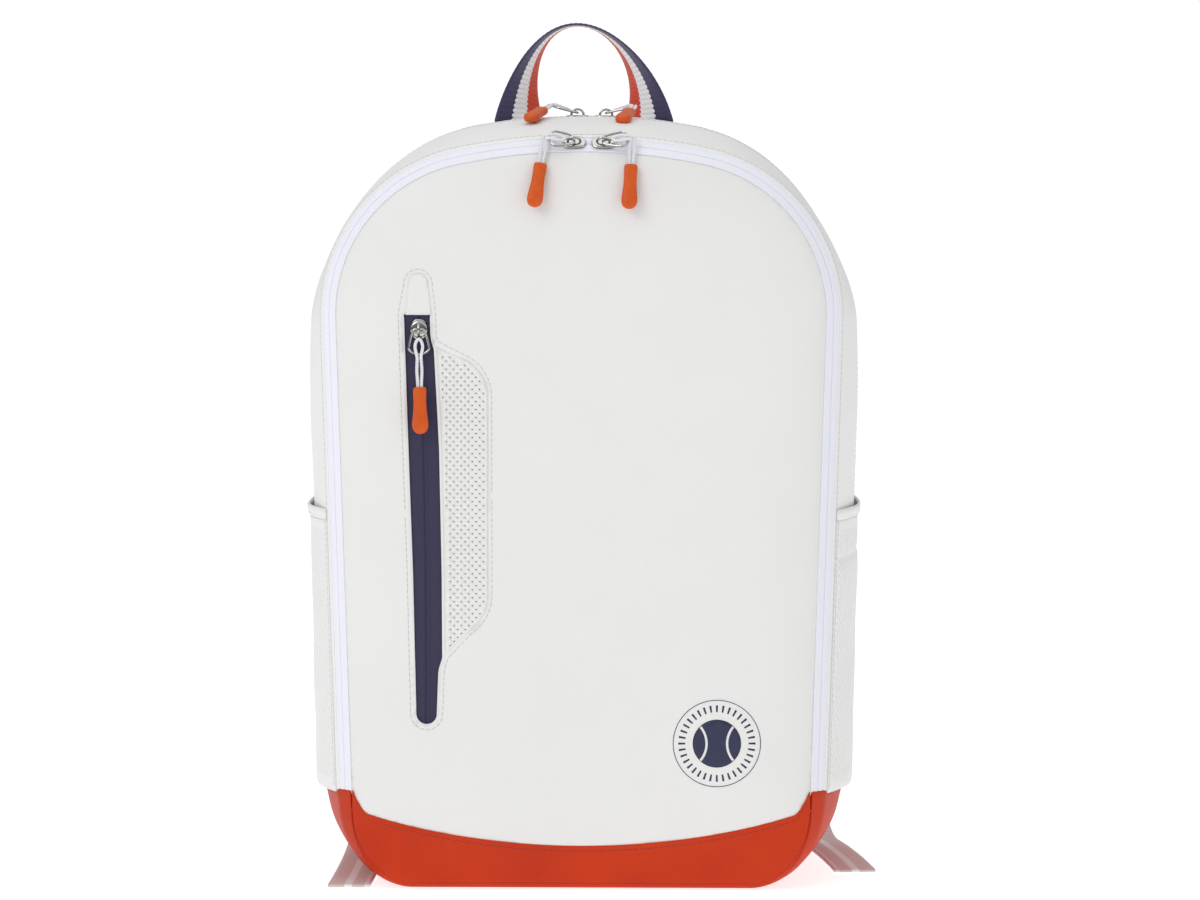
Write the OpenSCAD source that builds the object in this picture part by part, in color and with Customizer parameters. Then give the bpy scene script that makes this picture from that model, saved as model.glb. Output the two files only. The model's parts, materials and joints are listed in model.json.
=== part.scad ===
// Racket backpack: two zipped compartments, a zipped front pocket, two side pockets,
// a coloured boot round the base, a webbing grab handle and padded shoulder straps.
// Frame: Z up, front face towards -Y, X to the right of someone facing the front.
// The origin is on the ground, under the middle of the bag. Millimetres.

/* [Body outline] */
// Half the front panel's width at its widest
front_half_w = 144; // [138:1:150]
// Height of the front panel's top edge
front_top_z = 434.5; // [425:0.5:445]
// Radius of the flat arc across the top
top_r = 350; // [330:5:380]
// Radius of the two upper corners
corner_r = 90; // [84:1:96]
// Half the flat width that rests on the ground
foot_half_w = 100; // [95:1:105]
// Width of each rounded lower corner
foot_rx = 35; // [32:1:37]
// Height of each rounded lower corner
foot_rz = 45; // [42:1:48]

/* [Depth] */
// Depth from the front rim to the back panel
depth = 165; // [155:1:175]
// How far the middle of the bag stands out past the front rim
flare_max = 18.5; // [16:0.5:20]
// How far the back rim stands out past the front rim
flare_back = 14.5; // [13:0.5:16]
// How far the front panel's middle bulges forward
crown = 12; // [10:0.5:14]

/* [Zippers] */
// Depth of the slanted front zipper's band
front_zip_u = 9; // [8.5:0.1:9.5]
// Depth at which the main zipper's band starts
main_zip_u = 70; // [66:1:74]
// Width of the main zipper's band
main_zip_w = 14; // [13:0.5:15]
// Gap between two half tapes, where a slider's post runs
tape_gap = 2; // [1.8:0.1:2.2]
// Distance of each top slider from the point where its pair meets
slider_rest = 8.5; // [8:0.5:12]
// How far right of the middle the top sliders meet
meet_x = 4.5; // [0:0.5:6]

/* [Front pocket] */
// Middle of the pocket zipper across the bag
pocket_x = -92.5; // [-94:0.5:-91]
// Top of the pocket zipper
pocket_top_z = 340; // [335:1:345]
// Length of the pocket zipper
pocket_len = 240; // [230:1:245]
// Width of the pocket zipper's tape
pocket_w = 17; // [16:0.5:18]

/* [Boot and side pockets] */
// Height of the boot at the sides
boot_side_z = 58; // [54:1:58]
// Height of the boot in the middle of the front
boot_mid_z = 26.5; // [22:0.5:28]
// Height at which the front panel bends when it opens
hinge_z = 61; // [61:1:62]
// Height of the side pockets' open edge
side_pocket_z = 230; // [220:1:240]

/* [Handle and straps] */
// Width of the handle webbing
handle_w = 30; // [26:1:34]
// Height of the handle's highest point
handle_top_z = 508; // [500:1:515]
// Width of a shoulder strap
strap_w = 62; // [56:1:66]
// How far a shoulder strap bows out behind its two ends
strap_bow = 38; // [34:1:42]

/* [Hidden] */

front_y = -80;                       // plane of the front rim
back_y = front_y + depth;            // plane of the back rim
gap = 0.2;                           // clearance between neighbouring soft solids
shell_t = 2.5;                       // padded shell of the gussets
tape_t = 1;                          // zipper tape
panel_t = 3;                         // padded front panel
side_swell = 1.2;                    // the sides' share of the flare behind the front zipper
corner_swell = 0.19;                 // the upper corners' share of it
dip_s = 2.4;                         // where on the outline that share is smallest
dip_down = 0.6;                      // how far down the side from there it recovers
dip_up = 0.75;                       // and how far towards the top
face_mid_z = 240;                    // centre of the front face's rings
crown_power = 7;                     // how flat the front face's middle is

// Centres and angles of the outline's arcs
corner_x = front_half_w - corner_r;
top_angle = asin(corner_x / (top_r - corner_r));
top_cz = front_top_z - top_r;
corner_cz = top_cz + (top_r - corner_r) * cos(top_angle);
side_x = foot_half_w + foot_rx;
lean = asin(corner_r / norm([side_x - corner_x, corner_cz - foot_rz]))
    - atan2(side_x - corner_x, corner_cz - foot_rz);
side_top = [corner_x + corner_r * cos(lean), corner_cz - corner_r * sin(lean)];

// The front zipper's band is a cone: out of the bag by zip_slope for each unit of depth
zip_slope = 0.95;
zip_tilt = atan(zip_slope);
front_zip_d = zip_slope * front_zip_u;
front_zip_mid = front_zip_u / 2;
main_zip_end = main_zip_u + main_zip_w;
main_zip_mid = main_zip_u + main_zip_w / 2;

// ---------- outline and skin ----------

// Angle of the outline's outward normal, measured from straight up
function normal_angle(s) =
    s < 0 ? 180 :
    s < 1 ? 180 - s * (90 - lean) :
    s < 2 ? 90 + lean :
    s < 3 ? 90 + lean + (s - 2) * (top_angle - 90 - lean) :
    top_angle * (4 - s);
function normal2(s) = [sin(normal_angle(s)), cos(normal_angle(s))];

// Share of the flare that reaches height z: none on the ground, all above the boot
function flare_share(z) = pow(min(1, max(0, z) / boot_side_z), 0.5);

// The flare d at s, which is larger on the sides and smaller round the upper corners
function corner_dip(s) =
    let(k = abs(s - dip_s) / (s < dip_s ? dip_down : dip_up)) k < 1 ? pow(cos(90 * k), 2) : 0;
function swell(s, d) =
    let(full = s < dip_s ? side_swell : 1)
    d < front_zip_d ? d :
    front_zip_d + (d - front_zip_d) * (full - (full - corner_swell) * corner_dip(s));

// Right half of the outline, flared out by d. s runs from the ground's middle (-1) round the
// lower corner (0 to 1), up the side (1 to 2), round the upper corner (2 to 3) to the top (4).
function outline(s, d) =
    s < 0 ? [foot_half_w * (1 + s), 0] :
    s < 1 ? let(x = foot_half_w + foot_rx * sin(90 * s), z = foot_rz * (1 - cos(90 * s)))
        [x, z] + swell(s, d) * flare_share(z) * [cos(lean), -sin(lean)] :
    s < 2 ? let(p = [side_x, foot_rz] + (s - 1) * (side_top - [side_x, foot_rz]))
        p + swell(s, d) * flare_share(p[1]) * [cos(lean), -sin(lean)] :
    s < 3 ? [corner_x, corner_cz] + (corner_r + swell(s, d)) * normal2(s) :
    [0, top_cz] + (top_r + swell(s, d)) * normal2(s);

// The value of s at which the unflared outline reaches height z
function side_s(z) =
    z < foot_rz ? acos(1 - z / foot_rz) / 90 : 1 + (z - foot_rz) / (side_top[1] - foot_rz);

// How far the skin stands out past the front rim at depth u behind it
function flare(u) =
    u < front_zip_u ? zip_slope * u :
    u < main_zip_u ? front_zip_d + (flare_max - front_zip_d)
        * sin(90 * (u - front_zip_u) / (main_zip_u - front_zip_u)) :
    u < main_zip_end ? flare_max :
    flare_max - (flare_max - flare_back)
        * (1 - cos(90 * (u - main_zip_end) / (depth - main_zip_end)));

// A point of the skin, lifted outwards by lift. side is 1 on the right and -1 on the left.
function skin(s, side, u, lift) =
    let(p = outline(s, flare(u)) + lift * normal2(s)) [side * p[0], front_y + u, p[1]];

function steps(a, b, n) = [for (i = [0:n]) a + (b - a) * i / n];
function reversed(v) = [for (i = [len(v) - 1:-1:0]) v[i]];

// Values of s from a to b, with more of them where the outline turns
function samples(a, b) = concat(
    [for (k = [-1:3]) let(lo = max(a, k), hi = min(b, k + 1), n = [1, 8, 4, 12, 5][k + 1])
        if (hi > lo + 1e-6) for (i = [0:n - 1]) lo + (hi - lo) * i / n], [b]);

// Stations [s, side] of a strip that runs up the right side, over the top and down the left
function arch(a) = concat(
    [for (s = samples(a, 4)) [s, 1]],
    [for (s = reversed(samples(a, 3.99))) [s, -1]]);
// Stations of a strip that runs from the right side under the bag to the left side
function cradle(a) = concat(
    [for (s = reversed(samples(-1, a))) [s, 1]],
    [for (s = samples(-0.99, a)) [s, -1]]);

// Height of the boot's upper edge across the front face: a shallow curve with a step up at
// each end
boot_rise = 21;
function boot_z(x) = let(k = abs(x) / side_x, end = max(0, (k - 0.93) / 0.07))
    boot_mid_z + boot_rise * pow(k, 2)
    + (boot_side_z - boot_mid_z - boot_rise) * pow(end, 1.6);
// Height of the unflared outline's underside
function under_z(x) = abs(x) < foot_half_w ? 0 :
    foot_rz * (1 - sqrt(max(0, 1 - pow((abs(x) - foot_half_w) / foot_rx, 2))));

// ---------- front face ----------

rim_table = [for (s = samples(-1, 4)) let(p = outline(s, 0) - [0, face_mid_z])
    [atan2(p[1], p[0]), norm(p)]];
function rim_share(x, z) =
    norm([x, z - face_mid_z]) / lookup(atan2(z - face_mid_z, abs(x)), rim_table);
function face_y(x, z) =
    front_y - crown * (1 - pow(min(1, rim_share(x, z)), crown_power));
function on_face(p, lift) = [p[0], face_y(p[0], p[1]) - lift, p[1]];

// ---------- solids from grids of points ----------

// Two triangles for the cell with corners a, b, c, d
function cell(a, b, c, d) = [[a, b, c], [a, c, d]];
function turned(faces, flip) = flip ? [for (f = faces) reversed(f)] : faces;

// A closed slab between two grids of points, outer and inner, of the same shape
module sheet(outer, inner) {
    n = len(outer);
    m = len(outer[0]);
    o = n * m;
    middle = floor(n / 2);
    p = outer[middle - 1][0];
    flip = cross(outer[middle][0] - p, outer[middle - 1][1] - p) * (p - inner[middle - 1][0]) > 0;
    faces = concat(
        [for (i = [0:n - 2], j = [0:m - 2])
            let(a = i * m + j) each cell(a, a + m, a + m + 1, a + 1)],
        [for (i = [0:n - 2], j = [0:m - 2])
            let(a = o + i * m + j) each cell(a, a + 1, a + m + 1, a + m)],
        [for (i = [0:n - 2])
            each cell(i * m, o + i * m, o + (i + 1) * m, (i + 1) * m)],
        [for (i = [0:n - 2])
            each cell(i * m + m - 1, (i + 1) * m + m - 1, o + (i + 1) * m + m - 1, o + i * m + m - 1)],
        [for (j = [0:m - 2]) each cell(j, j + 1, o + j + 1, o + j)],
        [for (j = [0:m - 2]) let(a = (n - 1) * m + j)
            each cell(a, o + a, o + a + 1, a + 1)]);
    polyhedron(points = concat([for (row = outer) each row], [for (row = inner) each row]),
        faces = turned(faces, flip), convexity = 8);
}

// A closed slab between two sets of rings, from the rim inwards, with middle points ca and cb
module disc(outer, inner, ca, cb) {
    n = len(outer);
    m = len(outer[0]);
    o = n * m;
    faces = concat(
        [for (i = [0:n - 2], j = [0:m - 1]) let(k = (j + 1) % m)
            each cell(i * m + j, i * m + k, (i + 1) * m + k, (i + 1) * m + j)],
        [for (i = [0:n - 2], j = [0:m - 1]) let(k = (j + 1) % m)
            each cell(o + i * m + j, o + (i + 1) * m + j, o + (i + 1) * m + k, o + i * m + k)],
        [for (j = [0:m - 1]) let(k = (j + 1) % m)
            each cell(j, o + j, o + k, k)],
        [for (j = [0:m - 1]) [(n - 1) * m + j, (n - 1) * m + (j + 1) % m, 2 * o]],
        [for (j = [0:m - 1]) [o + (n - 1) * m + (j + 1) % m, o + (n - 1) * m + j, 2 * o + 1]]);
    flip = cross(outer[0][1] - outer[0][0], outer[1][0] - outer[0][0])
        * (outer[0][0] - inner[0][0]) > 0;
    polyhedron(points = concat([for (row = outer) each row], [for (row = inner) each row], [ca, cb]),
        faces = turned(faces, flip), convexity = 8);
}

// A strip of the bag's skin between depths us, lifted by lift and t thick
module band(stations, us, lift, t) {
    sheet([for (q = stations) [for (u = us) skin(q[0], q[1], u, lift)]],
        [for (q = stations) [for (u = us) skin(q[0], q[1], u, lift - t)]]);
}

// A piece of the front face inside loop, lifted by lift and t thick
module face_piece(loop, c, shares, lift, t) {
    rings = [for (k = shares) [for (p = loop) c + k * (p - c)]];
    disc([for (r = rings) [for (p = r) on_face(p, lift)]],
        [for (r = rings) [for (p = r) on_face(p, lift) + [0, t, 0]]],
        on_face(c, lift), on_face(c, lift) + [0, t, 0]);
}

// A flat panel inside the bag at depth u, pulled in by inset, from height low up
module inner_wall(u, inset, low, t) {
    loop = [for (q = arch(side_s(low))) let(p = skin(q[0], q[1], u, -inset)) [p[0], p[2]]];
    rotate([90, 0, 0]) translate([0, 0, -front_y - u - t]) linear_extrude(t) polygon(loop);
}

// ---------- shells ----------

module back_panel() color("whitesmoke") {
    stations = concat(arch(-0.99), [[-1, 1]]);
    rim = [for (q = stations) skin(q[0], q[1], depth, -gap)];
    mid = [0, back_y, face_mid_z];
    shares = [1, 0.92, 0.6];
    disc([for (k = shares) [for (p = rim) mid + k * (p - mid) + [0, 4, 0]]],
        [for (k = shares) [for (p = rim) mid + k * (p - mid) + [0, gap, 0]]],
        mid + [0, 4, 0], mid + [0, gap, 0]);
}

module rear_gusset() color("whitesmoke")
    band(arch(side_s(boot_side_z + gap)), steps(main_zip_end + gap, depth - gap, 5), 0, shell_t);

module middle_gusset() color("whitesmoke")
    band(arch(side_s(boot_side_z + gap)), steps(front_zip_u + gap, main_zip_u - gap, 4), 0, shell_t);

module boot_gusset() color("orangered")
    band(cradle(side_s(boot_side_z)), steps(panel_t + gap, depth - gap, 6), 0, shell_t);

// A strip of the front face between heights low and high, given for each x as a list
module face_strip(xs, low, high) {
    grid = [for (i = [0:len(xs) - 1]) [for (k = [0, 0.25, 0.6, 1])
        [xs[i], low[i] + k * (high[i] - low[i])]]];
    sheet([for (row = grid) [for (p = row) on_face(p, 0)]],
        [for (row = grid) [for (p = row) on_face(p, -panel_t)]]);
}

module boot_front() color("orangered") {
    xs = [for (a = steps(-90, 90, 24)) side_x * sin(a)];
    face_strip(xs, [for (x = xs) under_z(x) + gap], [for (x = xs) boot_z(x) - gap]);
}

// The strip of the front panel below its bend, which stays sewn to the boot
module front_panel_foot() color("white") {
    end = side_x - 1.5;
    xs = concat([-end], [for (a = steps(-75, 75, 20)) side_x * sin(a)], [end]);
    face_strip(xs, [for (x = xs) boot_z(x) + gap], [for (x = xs) hinge_z - 1]);
}

module base_board() color("dimgray")
    translate([0, front_y + 12, 3.2]) linear_extrude(2.5)
        polygon([for (c = [[-1, 0], [1, 0], [1, 1], [-1, 1]])
            each [for (a = steps(0, 90, 4))
                let(r = 14, turn = c[0] < 0 ? (c[1] > 0 ? 90 : 180) : (c[1] > 0 ? 0 : 270))
                [c[0] * (foot_half_w - 4 - r) + r * cos(a + turn),
                 (c[1] > 0 ? depth - 24 - r : r) + r * sin(a + turn)]]]);

module divider() color("lightgray") inner_wall(main_zip_u - 8, shell_t + 2.6, 6.5, 2.5);

// A padded sheet that stands off the back wall, so that a laptop fits behind it
sleeve_top = 275;
module laptop_sleeve() color("gray") translate([0, back_y - 26, 0]) rotate([90, 0, 0]) linear_extrude(5)
    polygon([[-118, 12], [118, 12], [140, 52], [140, sleeve_top], [-140, sleeve_top], [-140, 52]]);

module frame_sheet() color("silver") inner_wall(depth - 5, shell_t + 4, 6.5, 1.5);

// ---------- back ----------

module rounded_pad(w, h, r, t) {
    linear_extrude(t) polygon([for (c = [[1, 1], [-1, 1], [-1, -1], [1, -1]], a = steps(0, 90, 5))
        let(turn = c[0] > 0 ? (c[1] > 0 ? 0 : 270) : (c[1] > 0 ? 90 : 180))
        [c[0] * (w / 2 - r) + r * cos(a + turn), c[1] * (h / 2 - r) + r * sin(a + turn)]]);
}
module back_pad(side) color("gainsboro")
    translate([side * 62, back_y + 4.2, 255]) rotate([-90, 0, 0]) rounded_pad(96, 238, 26, 9);
module lumbar_pad() color("gainsboro")
    translate([0, back_y + 4.2, 88]) rotate([-90, 0, 0]) rounded_pad(222, 76, 24, 9);
module strap_yoke() color("whitesmoke")
    translate([0, back_y + 4.2, 409]) rotate([-90, 0, 0]) rounded_pad(176, 50, 16, 2.5);

// ---------- side pockets ----------

pocket_us = [front_zip_u + 2, 24, 45, 70, 95, 120, 143];
// How far the pocket stands off the gusset at height z and share k of its depth
function pocket_bulge(z, k) =
    0.6 + (4.2 - 1.6 * (z - boot_side_z) / (side_pocket_z - boot_side_z)) * pow(sin(180 * k), 0.7);
function pocket_point(side, z, u, lift) =
    let(k = (u - pocket_us[0]) / (pocket_us[len(pocket_us) - 1] - pocket_us[0]))
    skin(side_s(z), side, u, lift + pocket_bulge(z, min(1, max(0, k))));

module side_pocket(side) color("white") {
    zs = steps(boot_side_z + gap, side_pocket_z - 12.2, 6);
    sheet([for (z = zs) [for (u = pocket_us) pocket_point(side, z, u, 1.4)]],
        [for (z = zs) [for (u = pocket_us) pocket_point(side, z, u, 0)]]);
}
module pocket_hem(side) color("white") {
    zs = [side_pocket_z - 12, side_pocket_z - 6, side_pocket_z];
    sheet([for (z = zs) [for (u = pocket_us) pocket_point(side, z, u, 1.8)]],
        [for (z = zs) [for (u = pocket_us) pocket_point(side, z, u, 0)]]);
}

// ---------- front panel ----------

// The pocket zipper's centre line leans a little, in at the top
pocket_lean = 0.9;
module on_pocket_line() translate([pocket_x, 0, pocket_top_z - pocket_len / 2])
    rotate([0, -pocket_lean, 0]) children();
pocket_mid_y = face_y(pocket_x, pocket_top_z - pocket_len / 2);

// A bar in the XZ plane with round ends
module slot_bar(w, h, y0, t) translate([0, y0 + t, 0]) rotate([90, 0, 0]) linear_extrude(t)
    union() {
        square([w, h - w], center = true);
        for (e = [-1, 1]) translate([0, e * (h - w) / 2]) circle(w / 2, $fn = 32);
    }

module front_panel() color("white") {
    low_s = side_s(hinge_z);
    upper = [for (q = arch(low_s)) let(p = skin(q[0], q[1], 0, -1.5)) [p[0], p[2]]];
    n = 8;
    left = upper[len(upper) - 1];
    right = upper[0];
    loop = concat(upper, [for (i = [1:n - 1]) left + (right - left) * i / n]);
    difference() {
        face_piece(loop, [0, face_mid_z + 15], [1, 0.98, 0.95, 0.9, 0.84, 0.77, 0.68, 0.55, 0.3], 0, panel_t);
        on_pocket_line() slot_bar(pocket_w + 2 * gap, pocket_len + 2 * gap, front_y - 20, 25);
    }
}

module pocket_zip_tape() color("midnightblue") on_pocket_line() difference() {
    slot_bar(pocket_w, pocket_len, pocket_mid_y + 0.8, tape_t);
    translate([0, pocket_mid_y, 0]) cube([tape_gap, 20, pocket_len - 6], center = true);
}
module pocket_zip_coil() color("midnightblue") on_pocket_line()
    for (e = [-1, 1]) translate([e * 1.8 - 0.7, pocket_mid_y + 0.8 + tape_t + gap, 9 - pocket_len / 2])
        cube([1.4, 1.4, pocket_len - 18]);

// Outline of the perforated inlay beside the pocket zipper: straight beside the tape, with
// a slanted upper and lower edge and two rounded corners
inlay_x = -54;
inlay_r = 14;
inlay_high = 294;
inlay_low = 171;
function tape_edge(z) = pocket_x + pocket_w / 2 + 1
    - (z - pocket_top_z + pocket_len / 2) * tan(pocket_lean);
inlay_loop = concat(
    [for (z = steps(318, 138, 5)) [tape_edge(z), z]],
    [for (a = steps(-49, 0, 4)) [inlay_x - inlay_r + inlay_r * cos(a), inlay_low + inlay_r * sin(a)]],
    [for (a = steps(0, 63, 5)) [inlay_x - inlay_r + inlay_r * cos(a), inlay_high + inlay_r * sin(a)]]);
module perforated_panel() color("white")
    face_piece(inlay_loop, [-70, 230], [1, 0.7, 0.35], 1.1, 0.8);

// The small tab that covers the top of the pocket zipper
garage_r = 6.4;
module zip_garage() color("white") {
    r = garage_r;
    cx = pocket_x - (pocket_len / 2 + 12) * tan(pocket_lean) - 1.5;
    z0 = pocket_top_z + 1;
    loop = concat([for (a = steps(0, 180, 10)) [cx + r * cos(a), z0 + 17 + r * sin(a)]],
        [[cx - r, z0], [cx, z0], [cx + r, z0]]);
    face_piece(loop, [cx, z0 + 12], [1, 0.5], 1.1, 0.8);
}

badge_at = [80, 88];
badge_r = 26;
module badge() color("midnightblue")
    face_piece([for (a = [0:12:359]) badge_at + badge_r * [cos(a), sin(a)]], badge_at, [1, 0.5], 0.6, 0.3);

// The pouch that hangs behind the pocket zipper, between the panel and the compartment
bag_size = [170, 7, 238];
bag_at = [-110, front_y - 3.5, 104];
module pocket_bag() color("gray") translate(bag_at) difference() {
    cube(bag_size);
    translate([1, 1, 1]) cube(bag_size - [2, 2, 2]);
    translate([pocket_x - bag_at[0] - 8, -1, 6]) cube([16, 3, bag_size[2] - 12]);
}

// ---------- zipper tapes ----------

front_zip_s = side_s(boot_side_z + 2);
module front_zip_tape_front() color("lavender")
    band(arch(side_s(hinge_z)), [0.3, front_zip_mid - tape_gap / 2], 0, tape_t);
module front_zip_tape_rear() color("lavender")
    band(arch(front_zip_s), [front_zip_mid + tape_gap / 2, front_zip_u], 0, tape_t);
module front_zip_coil_front() color("white")
    band(arch(side_s(hinge_z)), [2.1, 3.3], -tape_t - gap, 1.2);
module front_zip_coil_rear() color("white")
    band(arch(front_zip_s), [6.4, 7.6], -tape_t - gap, 1.2);

main_zip_s = side_s(side_pocket_z - 30);
module main_zip_tape() color("lavender") {
    band(arch(main_zip_s), [main_zip_u, main_zip_mid - tape_gap / 2], -0.4, tape_t);
    band(arch(main_zip_s), [main_zip_mid + tape_gap / 2, main_zip_end], -0.4, tape_t);
}
module main_zip_coil() color("white") for (e = [-1, 1])
    band(arch(main_zip_s), [main_zip_mid + e * 1.8 - 0.6, main_zip_mid + e * 1.8 + 0.6],
        -0.4 - tape_t - gap, 1.2);

// ---------- sliders and pulls ----------
// Slider frame: x along the zipper, y across it, z out of the tape, which is at z = 0.

pivot_h = 3.4;     // height of the pull's pivot above the tape
pull_len = 14.5;   // from the pull's pivot to its far bar
knot_out = 2.5;    // from the far bar to the cord's knot
cord_len = 16;     // from the knot to the grip
grip_len = 27;     // length of the grip
wire = 1.4;        // thickness of the pull

module plate(l, w, z0, t) translate([0, 0, z0]) linear_extrude(t) union() {
    square([l - w * 0.6, w], center = true);
    for (e = [-1, 1]) translate([e * (l - w * 0.6) / 2, 0]) intersection() {
        circle(w / 2, $fn = 40);
        square([w * 0.6, w], center = true);
    }
}

// The lower plate lies behind the tape; its width is given, from one edge
module slider(under_w) color("silver") union() {
    plate(14, 9, 0.6, 1.2);
    translate([-6.5, -4, -4]) cube([13, under_w, 1]);
    translate([-5, -0.6, -4]) cube([4, 1.2, 5.8]);
    translate([0, 1.2, 1.7]) rotate([90, 0, 0]) linear_extrude(2.4) difference() {
        circle(4.4, $fn = 40);
        circle(3.1, $fn = 40);
        translate([-5, -10]) square([10, 10]);
    }
}
both_tapes = 8;    // the lower plate reaches under both half tapes
one_tape = 4.6;    // it reaches under the opening panel's half tape only

// The wire's middle line, grown by grow: narrow at the pivot, wide and round at the far end
module pull_outline(grow) hull() for (e = [-1, 1]) {
    translate([1, e * 2.2]) circle(1 + grow, $fn = 24);
    translate([pull_len - 2.4, e * 2.6]) circle(2.4 + grow, $fn = 24);
}
// The pull, from its pivot along +x
module pull() color("silver") translate([0, 0, -wire / 2]) linear_extrude(wire) difference() {
    pull_outline(wire / 2);
    pull_outline(-wire / 2);
}

// The cord runs along +x from its knot, which is at the origin
module cord() color("white") union() {
    translate([0, 0, -1.95]) cylinder(r = 1.5, h = 3.9, $fn = 24);
    for (e = [-1, 1]) translate([0.3, 0, e]) rotate([0, 90, 0]) cylinder(r = 0.9, h = cord_len, $fn = 24);
}

// The moulded grip, after the cord
module grip() color("coral") hull() {
    translate([cord_len + 2, 0, 0]) scale([0.25, 1, 0.6]) sphere(4.2, $fn = 20);
    translate([cord_len + grip_len - 5, 0, 0]) scale([1, 1, 0.6]) sphere(5, $fn = 20);
}

// Turns a slider frame's axes to x, z and their cross product
module frame_at(p, x, z) {
    y = cross(z, x);
    multmatrix([[x[0], y[0], z[0], p[0]], [x[1], y[1], z[1], p[1]], [x[2], y[2], z[2], p[2]]]) children();
}

// Where a top slider rests, on an arc of radius r about the top arc's centre
function rest_angle(r) = slider_rest / r * 180 / PI;
function arc_point(r, y) = [r * sin(rest_angle(r)), y, top_cz + r * cos(rest_angle(r))];
function arc_out(r) = [sin(rest_angle(r)), 0, cos(rest_angle(r))];
function arc_along(r) = [cos(rest_angle(r)), 0, -sin(rest_angle(r))];

front_r = top_r + zip_slope * front_zip_mid;
front_out = cos(zip_tilt) * arc_out(front_r) - sin(zip_tilt) * [0, 1, 0];
front_at = arc_point(front_r, front_y + front_zip_mid);
main_r = top_r + flare_max - 0.4;
main_at = arc_point(main_r, front_y + main_zip_mid);
front_rise = 7;    // how far a front pull lifts off its zipper at rest
main_rise = 15;    // and a main pull

function pull_dir(along, out, rise) = cos(rise) * along + sin(rise) * out;
front_pivot = front_at + pivot_h * front_out;
main_pivot = main_at + pivot_h * arc_out(main_r);
front_dir = pull_dir(arc_along(front_r), front_out, front_rise);
main_dir = pull_dir(arc_along(main_r), arc_out(main_r), main_rise);
front_end = front_pivot + (pull_len + knot_out) * front_dir;
main_end = main_pivot + (pull_len + knot_out) * main_dir;

// Directions of the hanging cords: front ones over the panel, main ones over the gusset
front_drop = 24;   // a front cord's angle forward of straight down
main_drop = 10;    // a main cord's angle below straight forward
function front_cord_x(side) = let(a = side < 0 ? 7 : -1)
    [sin(a), -sin(front_drop) * cos(a), -cos(front_drop) * cos(a)];
function main_cord_x(side) = let(a = side < 0 ? 14 : -8)
    [sin(a), -cos(main_drop) * cos(a), -sin(main_drop) * cos(a)];
function unit(v) = v / norm(v);
function square_to(x, v) = unit(v - (v * x) * x);

// Each module draws the right-hand piece, which mirror() turns into the left-hand one
module sided(side) mirror([side < 0 ? 1 : 0, 0, 0]) children();
// The same on the top arc, where the pair meets a little to the right of the middle
module on_arc(side, r) translate([0, 0, top_cz]) rotate([0, meet_x / r * 180 / PI, 0])
    translate([0, 0, -top_cz]) sided(side) children();
module front_set(side, p, x) on_arc(side, front_r) frame_at(p, x, square_to(x, front_out)) children();
module main_set(side, p, x) on_arc(side, main_r) frame_at(p, x, square_to(x, arc_out(main_r))) children();
module front_slider(side) front_set(side, front_at, arc_along(front_r)) slider(one_tape);
module front_pull(side) front_set(side, front_pivot, front_dir) pull();
module front_cord(side) front_set(side, front_end, front_cord_x(side)) children();
module main_slider(side) main_set(side, main_at, arc_along(main_r)) slider(both_tapes);
module main_pull(side) main_set(side, main_pivot, main_dir) pull();
module main_cord(side) main_set(side, main_end, main_cord_x(side)) children();

pocket_down = [sin(pocket_lean), 0, -cos(pocket_lean)];
pocket_slider_z = 9;  // slider's distance below the tape's top end
pocket_at = [pocket_x, pocket_mid_y + 0.8, pocket_top_z - pocket_len / 2]
    + (pocket_slider_z - pocket_len / 2) * pocket_down;
pocket_pivot = pocket_at + pivot_h * [0, -1, 0];
pocket_end = pocket_pivot + (pull_len + knot_out) * pocket_down;
pocket_cord_x = unit(pocket_down + [0, -0.09, 0]);
module at_pocket(p, x) frame_at(p, x, square_to(x, [0, -1, 0])) children();

// ---------- handle ----------

handle_low_z = front_top_z + flare_back + 1.3;
handle_y = back_y + 2;
handle_x = -2.5;
handle_half = 40;
handle_lean = 4;
// Middle of the webbing at angle a, from the left end (0) over the top to the right end (180)
function handle_mid(a) = [handle_x - handle_half * cos(a) - handle_lean * pow(sin(a), 2), handle_y,
    handle_low_z + (handle_top_z - handle_low_z) * pow(max(0, sin(a)), 1.05)];
// The webbing's width lies across the bag at its ends and twists to front-to-back at the top
function handle_twist(a) = 88 * pow(max(0, sin(a)), 0.5);
function handle_across(a) =
    let(t = unit(handle_mid(min(180, a + 2)) - handle_mid(max(0, a - 2))), out = [-t[2], 0, t[0]])
    cos(handle_twist(a)) * out - sin(handle_twist(a)) * [0, 1, 0];
function handle_normal(a) =
    unit(cross(handle_mid(min(180, a + 2)) - handle_mid(max(0, a - 2)), handle_across(a)));
function handle_row(a, lift) = [for (k = [-0.5, 0, 0.5])
    handle_mid(a) + k * handle_w * handle_across(a) + lift * handle_normal(a)];
module grab_handle() color("midnightblue")
    sheet([for (a = steps(0, 180, 30)) handle_row(a, 1)], [for (a = steps(0, 180, 30)) handle_row(a, -1)]);

// ---------- shoulder straps ----------

strap_top = [50, back_y + 9.4, 415];
strap_foot = [133, back_y + 8.4, 66];
pad_end = 0.72;    // share of the strap's run that is padded
function strap_mid(t) = [strap_top[0] + (strap_foot[0] - strap_top[0]) * pow(t, 1.15),
    strap_top[1] + (strap_foot[1] - strap_top[1]) * t + strap_bow * pow(max(0, sin(180 * t)), 0.85),
    strap_top[2] + (strap_foot[2] - strap_top[2]) * t];
function strap_run(t) = unit(strap_mid(min(1, t + 0.01)) - strap_mid(max(0, t - 0.01)));
function strap_across(t) = unit(cross(strap_run(t), [0, 1, 0]));
function strap_out(t) = unit(cross(strap_across(t), strap_run(t)));
function strap_width(t) = strap_w - 22 * pow(t / pad_end, 3);

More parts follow.
